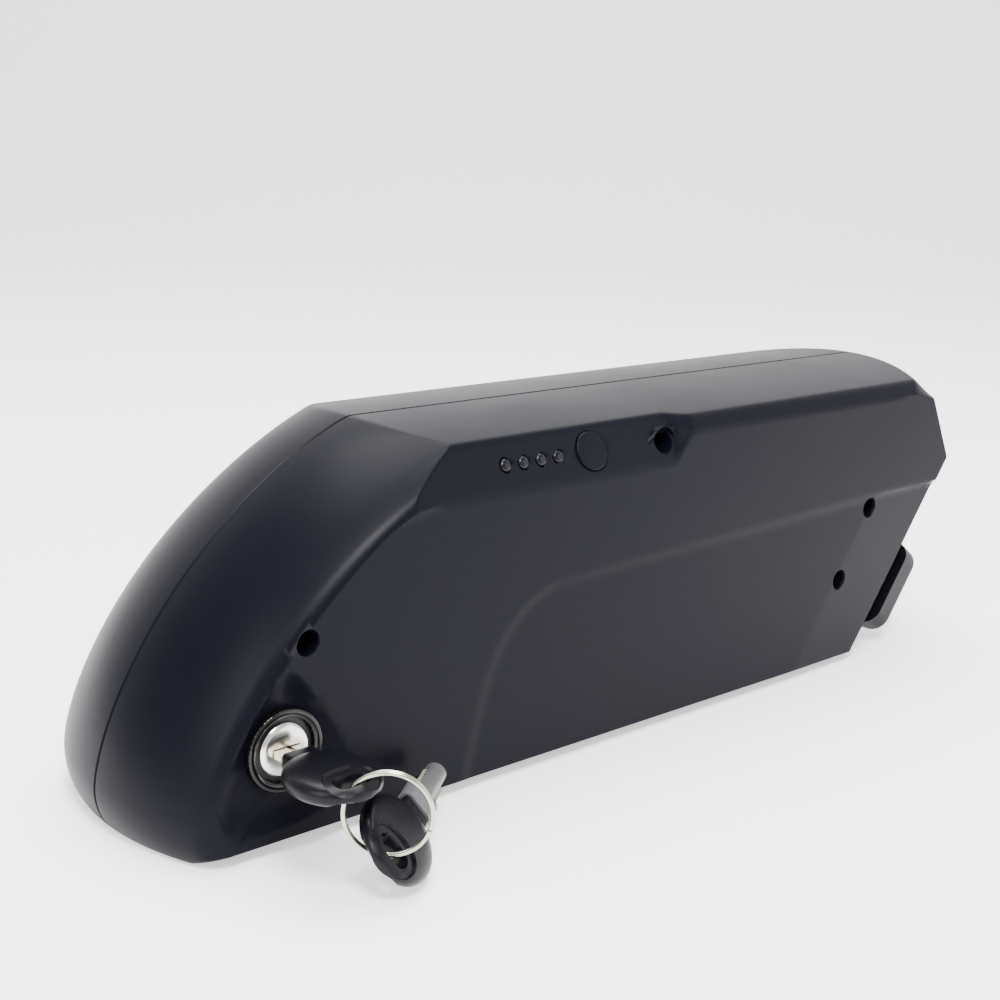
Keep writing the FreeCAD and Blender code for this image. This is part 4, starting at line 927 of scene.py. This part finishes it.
    def seam_line(self) -> tuple[Array, Array, Array]:
        """The seam's edge, which steps round the plug's hole in the lower back face.

        Returns:
            The points' numbers, the points and their rising levels.
        """
        start, stop = self.starts["back_low"], self.starts["foot"]
        share = self.levels[start:stop] - 5.0
        long = math.hypot(self.form.low_lean, 1.0) * self.form.tip_z
        along = long * (1.0 - share)
        inside = np.nonzero((along > self.HOLE[0] - self.HOLE[1]) & (along < self.HOLE[0] + self.HOLE[1]))[0]
        first, last = start + inside[0], start + inside[-1]
        row = int(np.nonzero(self.points[:, first, 1] * self.side.value > self.HOLE[2])[0][0])
        self.cut[:row, first:last] = True
        count = self.points.shape[1]
        rows = np.concatenate([np.zeros(first), np.arange(0, row), np.full(last - first, row),
                               np.arange(row, -1, -1), np.zeros(count - last)]).astype(int)
        columns = np.concatenate([np.arange(first), np.full(row, first), np.arange(first, last),
                                  np.full(row + 1, last), np.arange(last + 1, count + 1)]) % count
        before = np.linspace(5.0, 5.4, first - start, endpoint=False)
        notch = np.linspace(5.4, 5.6, 2 * row + last - first + 1)
        after = np.linspace(5.6, 6.0, stop - last)[1:]
        levels = np.concatenate([self.levels[:start], before, notch, after, self.levels[stop:], [9.0]])
        return self.numbers[rows, columns], self.points[rows, columns], levels / 9.0

    def open_window(self, maker: MeshMaker, spot: Spot, reach: float, profile: Sequence[tuple[float, float]],
                    on_side: bool, closed: bool) -> Array:
        """Cuts a patch of cells out of the grid and fits a turned recess into it.

        Args:
            maker: gathers the faces.
            spot: the recess's middle and axes.
            reach: radius that the window has to hold.
            profile: radius and height over the face, from the rim inwards.
            on_side: whether the patch lies on the pressed side.
            closed: whether the last ring is closed with a floor.

        Returns:
            The numbers of the last ring.
        """
        away = self.points - spot.origin
        a, b = away @ spot.across, away @ spot.along
        near = (np.hypot(a, b) < reach) & (np.abs(away @ spot.out) < 6.0)
        rows, columns = np.nonzero(near)
        count = self.points.shape[1]
        around = (columns - columns[len(columns) // 2] + count // 2) % count
        shift = columns[len(columns) // 2] - count // 2
        r0, r1, c0, c1 = rows.min() - 1, rows.max() + 1, around.min() + shift - 1, around.max() + shift + 1
        self.cut[r0:r1, np.arange(c0, c1) % count] = True
        row_path = np.concatenate([np.full(c1 - c0, r0), np.arange(r0, r1), np.full(c1 - c0, r1),
                                   np.arange(r1, r0, -1)])
        column_path = np.concatenate([np.arange(c0, c1), np.full(r1 - r0, c1), np.arange(c1, c0, -1),
                                      np.full(r1 - r0, c0)]) % count
        rim = self.numbers[row_path, column_path]
        edge = self.points[row_path, column_path]
        angle = np.unwrap(np.arctan2(b[row_path, column_path], a[row_path, column_path]))
        steps = len(rim)
        even = np.arange(steps) * 2 * math.pi / steps * np.sign(angle[-1] - angle[0])
        turn = (even + np.mean(angle - even))[:, None]
        rings = []
        for radius, height in profile:
            flat = np.hstack([radius * np.cos(turn), radius * np.sin(turn)])
            rings.append(spot.lift(flat, height))
        if on_side and profile[0][1] == 0.0:
            rings[0] = self.settle(rings[0])
        fill = [mix(edge, rings[0], share) for share in (0.25, 0.5, 0.75)]
        if on_side:
            fill = [self.settle(ring) for ring in fill]
        numbers = maker.add(np.stack(fill + rings))
        maker.cells(np.vstack([rim[None], numbers]), wrap_columns=True)
        if closed:
            maker.fan(numbers[-1], np.mean(rings[-1], axis=0))
        ring = numbers[-1] if angle[-1] > angle[0] else numbers[-1][::-1]
        first_turn = float(turn[0, 0]) if angle[-1] > angle[0] else float(turn[-1, 0])
        return np.roll(ring, int(round(first_turn / (2 * math.pi) * steps)))


@dataclass
class HalfShell:
    """One half of the case: an outer and an inner skin, joined along the seam and
    through the holes."""

    name: str
    side: Side
    form: CaseForm = field(default_factory=CaseForm)
    screws: tuple[tuple[float, float], ...] = ((-140.6, 61.3), (2.9, 101.4), (119.7, 61.9), (104.5, 35.4))
    screw_bore: float = 3.6
    screw_wall: float = 1.4
    seat_y: float = -9.0
    seat: float = 3.0
    lens_x: float = -55.0
    lens_pitch: float = 7.3
    lens_radius: float = 2.1
    display_down: float = 8.6
    button_x: float = -29.7
    button_radius: float = 6.5
    button_gap: float = 0.25
    lock: tuple[float, float] = (-148.0, 31.0)
    lock_radius: float = 9.7
    bolt: tuple[float, float] = (-148.0, -6.4)
    bolt_radius: float = 3.58
    charge: tuple[float, float] = (-128.0, 26.0)
    charge_radius: float = 5.65
    gasket_reach: float = 0.9

    def build(self) -> bpy.types.Object:
        """Makes the half shell.

        Returns:
            The new piece.
        """
        maker = MeshMaker()
        self.outer = Skin(self.form, self.side, 0.0, 1.0)
        self.inner = Skin(self.form, self.side, self.form.wall, 0.42)
        for skin in (self.outer, self.inner):
            skin.build(maker)
            skin.close_core(maker)
        if self.side is Side.LOCK:
            self.lock_side_holes(maker)
        else:
            self.far_side_holes(maker)
        self.join_seam(maker)
        for skin in (self.outer, self.inner):
            maker.cells(skin.numbers, wrap_columns=True, cut=skin.cut)
        return maker.piece(self.name)

    def join_seam(self, maker: MeshMaker) -> None:
        """Joins the skins along the seam, with a groove half way for the seal."""
        numbers, edge, levels = self.outer.seam_line()
        inner_numbers, inner_edge, inner_levels = self.inner.seam_line()
        level = np.column_stack([np.interp(levels, inner_levels, inner_edge[:, axis]) for axis in range(3)])
        rings = []
        for share, deep in ((0.28, False), (0.28, True), (0.72, True), (0.72, False)):
            ring = mix(edge, level, share)
            at_seam = np.abs(edge[:, 1]) < 0.2
            reach = self.gasket_reach if deep else Skin.SEAM
            ring[at_seam, 1] = self.side.value * reach
            rings.append(ring)
        lines = maker.add(np.stack(rings))
        maker.cells(np.vstack([numbers[None], lines]))
        maker.zip_lines(lines[-1], inner_numbers, levels, inner_levels)

    def through(self, maker: MeshMaker, spot: Spot, radius: float, reach: float, on_side: bool = False,
                lip: float = 0.25) -> None:
        """A round hole through both skins, with a small round lip."""
        wall = self.form.wall
        rim = [(radius + lip, 0.0), (radius + lip * 0.3, -lip * 0.3), (radius, -lip), (radius, -wall * 0.5)]
        outer = self.outer.open_window(maker, spot, reach, rim, on_side, False)
        inner = self.inner.open_window(maker, spot, reach, [(radius, -wall)], False, False)
        maker.zip_rings(outer, inner)

    def face_spot(self, x: float, z: float) -> Spot:
        """A spot on the flat side, with its axes."""
        return Spot(np.array([x, self.side.value * self.form.half, z]),
                    np.array([-self.side.value, 0.0, 0.0]), np.array([0.0, 0.0, 1.0]))

    def lock_side_holes(self, maker: MeshMaker) -> None:
        """Screw tubes, lamp dishes, and the button's, the lock's and the bolt's holes."""
        form = self.form
        for x, z in self.screws:
            spot = self.face_spot(x, z)
            deep = -form.half - self.seat_y
            bore = self.screw_bore
            rim = self.outer.settle(ring_of(bore, 16, spot.origin, spot.across, spot.along))
            low = float(((rim - spot.origin) @ spot.out).min())
            profile = [(bore + 0.4, 0.0), (bore + 0.1, low - 0.5), (bore, low - 1.1), (bore, deep * 0.5),
                       (bore, deep), (1.8, deep), (1.8, deep - self.seat * 0.5)]
            outer = self.outer.open_window(maker, spot, bore + 0.6, profile, True, False)
            tube = [(bore + self.screw_wall, -form.wall - 0.8), (bore + self.screw_wall, deep - self.seat),
                    (1.8, deep - self.seat)]
            inner = self.inner.open_window(maker, spot, bore + self.screw_wall + 0.4, tube, False, False)
            maker.zip_rings(outer, inner)
        for place in range(4):
            spot = form.bevel_spot(self.lens_x + (place - 1.5) * self.lens_pitch, self.display_down)
            radius = self.lens_radius
            dish = [(radius + 0.75, 0.0), (radius + 0.62, -0.1), (radius + 0.35, -0.5),
                    (radius + 0.15, -0.75), (radius + 0.15, -2.0)]
            self.outer.open_window(maker, spot, radius + 0.65, dish, False, True)
        spot = form.bevel_spot(self.button_x, self.display_down)
        self.through(maker, spot, self.button_radius + self.button_gap, self.button_radius + 0.6)
        lock = self.face_spot(*self.lock)
        floor = Spot(lock.origin - lock.out * form.pocket_depth, lock.across, lock.along)
        self.through(maker, floor, self.lock_radius + 0.15, self.lock_radius + 0.9, True)
        roof = Spot(np.array([*self.bolt, form.rail_depth]), np.array([1.0, 0, 0]), np.array([0, -1.0, 0]))
        self.through(maker, roof, self.bolt_radius + 0.1, self.bolt_radius + 0.5)

    def far_side_holes(self, maker: MeshMaker) -> None:
        """The inlet's hole, and the posts that the case screws bite into."""
        form = self.form
        spot = self.face_spot(*self.charge)
        flat = Spot(spot.origin - spot.out * form.hood_step, spot.across, spot.along)
        self.through(maker, flat, self.charge_radius, self.charge_radius + 0.6)
        for x, z in self.screws:
            spot = self.face_spot(x, z)
            tip = -(form.half - (self.seat_y + self.seat + 0.2))
            radius = self.screw_bore + 1.0
            post = [(radius, -form.wall - 0.8), (radius, tip), (1.65, tip), (1.65, tip + 17.0)]
            self.inner.open_window(maker, spot, radius + 0.4, post, False, True)


# ---- display, lock and keys ------------------------------------------------------------------
@dataclass
class Display:
    """The four lenses in one strip, and the push button beside them."""

    shell: HalfShell

    def build_lenses(self) -> bpy.types.Object:
        """Four domed studs on one strip behind the wall.

        Returns:
            The new piece.
        """
        form, shell = self.shell.form, self.shell
        maker = MeshMaker()
        radius = shell.lens_radius
        for place in range(4):
            spot = form.bevel_spot(shell.lens_x + (place - 1.5) * shell.lens_pitch, shell.display_down)
            turn = np.linspace(math.pi / 2, 0.0, 9)
            dome = [(max(radius * math.cos(t), 0.02), -0.55 + 1.0 * math.sin(t)) for t in turn]
            maker.stack(spot.turned(dome + [(radius, -1.2), (radius, -1.95)], 36))
        spot = form.bevel_spot(shell.lens_x, shell.display_down)
        loop = rounded_loop(2 * shell.lens_pitch + 1.0, 3.5, 3.4)
        heights = [(-3.3, 0.25), (-3.45, 0.0), (-4.65, 0.0), (-4.8, 0.25)]
        maker.stack([spot.lift(loop * (1 - cut / 8), height) for height, cut in heights])
        return maker.piece("display_lenses")

    def build_button(self) -> bpy.types.Object:
        """A turned button: a shallow domed cap with a round edge over a flange and a stem.

        Returns:
            The new piece.
        """
        shell = self.shell
        spot = shell.form.bevel_spot(shell.button_x, shell.display_down)
        radius = shell.button_radius
        proud = 0.9
        turn = np.linspace(0.0, math.pi / 2, 8)
        cap = [(radius * share + 0.02, proud - 0.42 * share ** 2) for share in (0.0, 0.2, 0.4, 0.6, 0.75)]
        edge = [(radius - 0.6 + 0.6 * math.sin(t), proud - 0.95 + 0.6 * math.cos(t)) for t in turn]
        deep = -shell.form.wall - 0.6
        under = [(radius, -1.2), (radius, deep), (radius + 1.1, deep), (radius + 1.1, deep - 1.2),
                 (1.5, deep - 1.2), (1.5, deep - 2.4)]
        maker = MeshMaker()
        maker.stack(spot.turned(cap + edge + under, 72))
        return maker.piece("display_button")


@dataclass
class Lock:
    """The lock's bezel and its turning plug."""

    x: float = -148.0
    z: float = 31.0
    seat_y: float = -42.0
    outer: float = 12.4
    inner: float = 9.75
    knurls: int = 54
    knurl_depth: float = 0.28
    plug_radius: float = 8.1
    plug_y: float = -44.8
    plug_rear: float = -12.0
    chamfer: float = 1.0
    slot: tuple[float, float] = (8.9, 2.5)
    slot_depth: float = 25.0

    def spot(self, y: float) -> Spot:
        """A spot on the lock's axis, facing out of the side."""
        return Spot(np.array([self.x, y, self.z]), np.array([1.0, 0, 0]), np.array([0, 0, 1.0]))

    def build_bezel(self) -> bpy.types.Object:
        """A knurled ring: the radius swells with the cosine of the turn times the number
        of knurls, fading out towards the round upper edge.

        Returns:
            The new piece.
        """
        profile = np.array([(self.inner, 0.0), (self.inner, 2.1), (self.inner + 0.2, 2.45),
                            (self.inner + 0.6, 2.75),
                            (self.inner + 1.1, 2.95), (self.inner + 1.4, 3.0), (self.outer - 0.75, 3.0),
                            (self.outer - 0.45, 2.93), (self.outer - 0.2, 2.75), (self.outer - 0.05, 2.45),
                            (self.outer, 2.1), (self.outer, 1.3), (self.outer, 0.35), (self.outer, 0.0)])
        turn = np.linspace(0.0, 2 * math.pi, self.knurls * 8, endpoint=False)
        wave = 0.5 - 0.5 * np.cos(turn * self.knurls)
        share = smooth((2.75 - profile[:, 1]) / 0.6) * (profile[:, 0] > self.outer - 0.5)
        radius = profile[:, :1] - self.knurl_depth * share[:, None] * wave[None, :]
        flat = np.stack([radius * np.cos(turn), radius * np.sin(turn)], axis=-1)
        maker = MeshMaker()
        height = np.broadcast_to(profile[:, 1:], radius.shape)
        maker.cells(maker.add(self.spot(self.seat_y).lift(flat, height)), wrap_rows=True, wrap_columns=True)
        return maker.piece("lock_ring", 50.0)

    def build_plug(self) -> bpy.types.Object:
        """The plug: a chamfered cylinder whose face runs in to the key's slot.

        Returns:
            The new piece.
        """
        spot = self.spot(self.plug_y)
        turn = np.linspace(0.0, 2 * math.pi, 96, endpoint=False)
        circle = np.column_stack([np.cos(turn), np.sin(turn)])
        half = np.array(self.slot) / 2
        reach = np.minimum(half[0] / np.maximum(np.abs(circle[:, 0]), 1e-9),
                           half[1] / np.maximum(np.abs(circle[:, 1]), 1e-9))
        slot = circle * reach[:, None]
        wide = circle * (reach + 0.25)[:, None]
        radius, cut = self.plug_radius, self.chamfer
        length = self.plug_y - self.plug_rear
        rings = [(circle * radius, length), (circle * radius, -cut - 0.15),
                 (circle * (radius - 0.06), -cut + 0.05),
                 (circle * (radius - cut + 0.1), -0.08), (circle * (radius - cut - 0.1), 0.0),
                 (mix(circle * (radius - cut), wide, 0.5), 0.0), (wide, 0.0), (slot, -0.3),
                 (slot, -self.slot_depth)]
        maker = MeshMaker()
        maker.stack([spot.lift(flat, height) for flat, height in rings])
        return maker.piece("plug_barrel", 25.0)


@dataclass
class KeyBow:
    """A key's pillow-shaped bow with a slot for the ring in a shallow recess."""

    name: str
    origin: Sequence[float]
    wide: Sequence[float]
    normal: Sequence[float]
    half_wide: float = 13.25
    half_long: float = 15.0
    half_thick: float = 4.0
    slot: tuple[float, float] = (2.5, 3.0)
    recess: tuple[float, float] = (2.5, 5.6)
    recess_depth: float = 0.8
    edge_gap: float = 3.2
    neck: tuple[float, float, float] = (5.4, 2.6, 16.5)

    def height(self, flat: Array) -> Array:
        """Half thickness at a place: full in the middle, easing to a round rim, by the
        twelfth power of the distance to the oval's edge."""
        far = np.hypot(flat[..., 0] / self.half_wide, flat[..., 1] / self.half_long)
        pillow = self.half_thick * (1.0 - 0.34 * far ** 2)
        return pillow * np.sqrt(np.maximum(1.0 - np.minimum(far, 1.0) ** 12, 0.0))

    def build(self) -> bpy.types.Object:
        """Makes the bow from loops that run from the slot out to the rim and back.

        Returns:
            The new piece.
        """
        turn = np.linspace(0.0, 2 * math.pi, 128, endpoint=False)
        way = np.column_stack([np.cos(turn), np.sin(turn)])
        centre = np.array([0.0, self.half_long - self.slot[1] - self.edge_gap])
        slot = centre + way * self.stadium(way, *self.slot)[:, None]
        recess = centre + way * self.stadium(way, *self.recess)[:, None]
        lip = centre + way * (self.stadium(way, *self.recess) + 0.35)[:, None]
        rim = centre + way * self.oval(way, centre)[:, None]
        lip = np.where((np.linalg.norm(rim - lip, axis=1) < 0.6)[:, None], mix(recess, rim, 0.4), lip)
        rows, heights = [], []
        for share in (0.0, 0.06, 0.5, 1.0):
            rows.append(mix(slot, recess, share))
            rounding = 0.25 if share == 0.0 else 0.0
            heights.append(self.height(rows[-1]) - self.recess_depth - rounding)
        rows.append(lip)
        heights.append(self.height(lip))
        for share in 1.0 - (1.0 - np.linspace(0.0, 1.0, 26)[1:]) ** 2.2:
            rows.append(mix(lip, rim, share))
            heights.append(self.height(rows[-1]))
        flat = np.stack(rows)
        high = np.stack(heights)
        loop = np.concatenate([flat, flat[::-1][1:]])
        level = np.concatenate([high, -high[::-1][1:]])
        spot = self.spot()
        maker = MeshMaker()
        maker.cells(maker.add(spot.lift(loop, level)), wrap_rows=True, wrap_columns=True)
        self.add_neck(maker, spot)
        return maker.piece(self.name, 42.0)

    def add_neck(self, maker: MeshMaker, spot: Spot) -> None:
        """The neck that the blade leaves by: a rounded block from the bow's middle down."""
        half_wide, half_thick, reach = self.neck
        loop = rounded_loop(half_wide, half_thick, 1.2, 5)
        sizes = [(-7.0, 0.98), (-reach + 0.5, 1.0), (-reach + 0.12, 0.98), (-reach, 0.93)]
        rings = []
        for along, size in sizes:
            flat = np.column_stack([loop[:, 0] * size, np.full(len(loop), along)])
            rings.append(spot.lift(flat, loop[:, 1] * size))
        maker.stack(rings)

    def spot(self) -> Spot:
        """The bow's place: across its width, with the blade leaving against along."""
        normal = unit(self.normal)
        along = unit(np.cross(normal, unit(self.wide)))
        return Spot(np.asarray(self.origin, float), np.cross(along, normal), along)

    def stadium(self, way: Array, reach: float, radius: float) -> Array:
        """Distance to a slot shape's edge along each way from its middle."""
        across, up = np.abs(way[:, 0]), np.abs(way[:, 1])
        flat = radius / np.maximum(up, 1e-9)
        cap = reach * across + np.sqrt(np.maximum(radius ** 2 - (reach * up) ** 2, 0.0))
        return np.where(flat * across <= reach, flat, cap)

    def oval(self, way: Array, centre: Array) -> Array:
        """Distance to the oval's edge along each way from a place inside it."""
        size = np.array([self.half_wide, self.half_long])
        step, start = way / size, centre / size
        a, b, c = (step ** 2).sum(1), (step * start).sum(1), (start ** 2).sum() - 1.0
        return (-b + np.sqrt(b ** 2 - a * c)) / a


@dataclass
class KeyRing:
    """A split ring: a wire wound twice round, with its ends on the inside of the turns."""

    centre: tuple[float, float, float] = (-140.71, -82.39, 24.12)
    normal: tuple[float, float, float] = (0.670, 0.742, 0.0)
    radius: float = 12.0
    wire: float = 0.62
    pitch: float = 1.12
    flatness: float = 0.88

    def build(self) -> bpy.types.Object:
        """Makes the ring: the centre line is a circle that climbs one pitch in each turn,
        with most of the climb in the last quarter.

        Returns:
            The new piece.
        """
        normal = unit(self.normal)
        across = unit(np.cross((0.0, 0.0, 1.0), normal))
        up = np.cross(normal, across)
        start = math.radians(200.0)
        turn = np.linspace(0.0, 4 * math.pi - 0.06, 320)
        climb = np.clip((turn - 1.75 * math.pi) / (0.5 * math.pi), 0.0, 1.0)
        rise = (smooth(climb) - 0.5) * self.pitch
        radial = np.cos(turn + start)[:, None] * across + np.sin(turn + start)[:, None] * up
        line = np.array(self.centre) + radial * self.radius + rise[:, None] * normal
        rings = ring_of(self.wire, 20, line[:, None], radial[:, None], normal * self.flatness)
        maker = MeshMaker()
        maker.stack(rings)
        return maker.piece("split_ring", 60.0)


# ---- setting -----------------------------------------------------------------------------------
@dataclass
class Studio:
    """A pale floor and backdrop, soft lights and the camera."""

    eye: tuple[float, float, float] = (-371.8, -385.3, 209.4)
    yaw_deg: float = 41.41
    pitch_deg: float = 14.42
    roll_deg: float = 1.95
    lens: float = 55.89
    floor_z: float = -0.5

    def build(self) -> None:
        """Makes the floor, the lights and the camera."""
        self.build_floor()
        self.light("key_light", (-450, -700, 1250), (-60, 0, 60), 420, 420, 34.0)
        self.light("top_light", (150, 250, 1300), (0, 0, 60), 1100, 900, 34.0)
        self.light("nose_light", (-1100, -250, 600), (-100, 0, 60), 500, 700, 9.0)
        self.light("fill_light", (700, -1000, 500), (0, 0, 60), 900, 900, 7.0)
        self.build_world()
        self.build_camera()

    def build_floor(self) -> None:
        """A wide pale sheet that curves up behind: flat, then a quarter circle, then upright."""
        turn = np.linspace(0.0, math.pi / 2, 24)
        bend = 900.0
        out = np.concatenate([[-3500.0], 1500 + bend * np.sin(turn), [1500 + bend]])
        rise = np.concatenate([[0.0], bend * (1 - np.cos(turn)), [4500.0]])
        a = math.radians(self.yaw_deg)
        across = np.array([-6000.0, 6000.0])
        x = out[:, None] * math.sin(a) + across[None, :] * math.cos(a)
        y = out[:, None] * math.cos(a) - across[None, :] * math.sin(a)
        maker = MeshMaker()
        z = np.broadcast_to(rise[:, None] + self.floor_z, x.shape)
        maker.cells(maker.add(np.stack([x, y, z], axis=-1)))
        floor = maker.piece("backdrop")
        material = bpy.data.materials.new("backdrop_white")
        material.use_nodes = True
        shader = material.node_tree.nodes["Principled BSDF"]
        shader.inputs["Base Color"].default_value = (0.93, 0.93, 0.93, 1.0)
        shader.inputs["Roughness"].default_value = 0.9
        shader.inputs["Emission Color"].default_value = (1.0, 1.0, 1.0, 1.0)
        shader.inputs["Emission Strength"].default_value = 0.8
        floor.data.materials.append(material)
        floor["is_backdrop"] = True

    def light(self, name: str, place: Sequence[float], target: Sequence[float], wide: float, high: float,
              power: float) -> None:
        """An area light, placed and aimed in millimetres."""
        data = bpy.data.lights.new(name, "AREA")
        data.shape = "RECTANGLE"
        data.size, data.size_y = wide * MM, high * MM
        data.energy = power
        lamp = bpy.data.objects.new(name, data)
        lamp.location = Vector(place) * MM
        lamp.rotation_euler = (Vector(target) - Vector(place)).to_track_quat("-Z", "Y").to_euler()
        bpy.context.scene.collection.objects.link(lamp)
        lamp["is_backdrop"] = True

    def build_world(self) -> None:
        """A pale, even surround."""
        world = bpy.data.worlds.new("surround")
        world.use_nodes = True
        background = world.node_tree.nodes["Background"]
        background.inputs["Color"].default_value = (1.0, 1.0, 1.0, 1.0)
        background.inputs["Strength"].default_value = 0.95
        bpy.context.scene.world = world

    def build_camera(self) -> None:
        """The camera, from its place, its turn, its dip and its roll."""
        a, e, r = (math.radians(v) for v in (self.yaw_deg, self.pitch_deg, self.roll_deg))
        ahead = np.array([math.sin(a) * math.cos(e), math.cos(a) * math.cos(e), -math.sin(e)])
        level = np.array([math.cos(a), -math.sin(a), 0.0])
        above = np.cross(level, ahead)
        right = math.cos(r) * level + math.sin(r) * above
        up = -math.sin(r) * level + math.cos(r) * above
        data = bpy.data.cameras.new("main_camera")
        data.lens = self.lens
        data.sensor_width = 36.0
        data.clip_start, data.clip_end = 0.01, 50.0
        camera = bpy.data.objects.new("main_camera", data)
        turned = Matrix((right, up, -ahead)).transposed().to_4x4()
        camera.matrix_world = Matrix.Translation(Vector(self.eye) * MM) @ turned
        bpy.context.scene.collection.objects.link(camera)
        bpy.context.scene.camera = camera
        camera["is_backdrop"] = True


def corners() -> dict[str, list[float]]:
    """The shown object's lowest and highest corners, as plain lists."""
    low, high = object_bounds()
    return {"low": list(low), "high": list(high)}


def dress_kept(replaced: set[str]) -> None:
    """Gives every CAD node that is still shown its finish."""
    for subpart in frame["record"]["subparts"]:
        if subpart["node"] not in replaced:
            dress(frame["nodes"][subpart["node"]], subpart["material_slot"])


def bow_hung_from(ring: KeyRing, bow: KeyBow) -> KeyBow:
    """The spare key's bow, whose slot hangs on the lowest point of the ring.

    Args:
        ring: the ring.
        bow: the other key's bow, which has the same sizes.

    Returns:
        The spare bow.
    """
    blade_way = unit((0.80, 0.60, 0.03))
    wide = np.array((0.40, -0.50, -0.77))
    wide = unit(wide - blade_way * wide.dot(blade_way))
    reach = bow.half_long - bow.slot[1] - bow.edge_gap
    lowest = np.array(ring.centre) - np.array((0.0, 0.0, ring.radius))
    return KeyBow("bow_on_ring", lowest + blade_way * reach, wide, np.cross(wide, -blade_way))


def main() -> None:
    """Builds every class in order."""
    logging.basicConfig(level=logging.INFO, format="%(name)s %(message)s")
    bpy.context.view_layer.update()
    near = HalfShell("case_half_lock_side", Side.LOCK)
    far = HalfShell("case_half_far_side", Side.FAR)
    display = Display(near)
    lock = Lock()
    bow = KeyBow("bow_in_lock", (-148.0, -67.0, 31.0), (-1, 0, 0), (0, 0, 1))
    ring = KeyRing()
    spare = bow_hung_from(ring, bow)
    jobs = ((near.build, "case_plastic", "case", "lock_side_shell"),
            (far.build, "case_plastic", "case", "far_side_shell"),
            (display.build_lenses, "lens_plastic", "case", "lens_strip"),
            (display.build_button, "case_plastic", "button", "power_button"),
            (lock.build_bezel, "bezel_plastic", "case", "lock_bezel"),
            (lock.build_plug, "lock_chrome", "plug", "lock_plug"),
            (bow.build, "bow_plastic", "key", "key_bow"),
            (spare.build, "bow_plastic", "spare_key", "spare_key_bow"),
            (ring.build, "ring_steel", "ring", "key_ring"))
    for build, slot, body, node in jobs:
        dress(build(), slot, body, [node])
    dress_kept({node for _, _, _, node in jobs})
    Studio().build()


if __name__ == "__main__":
    main()
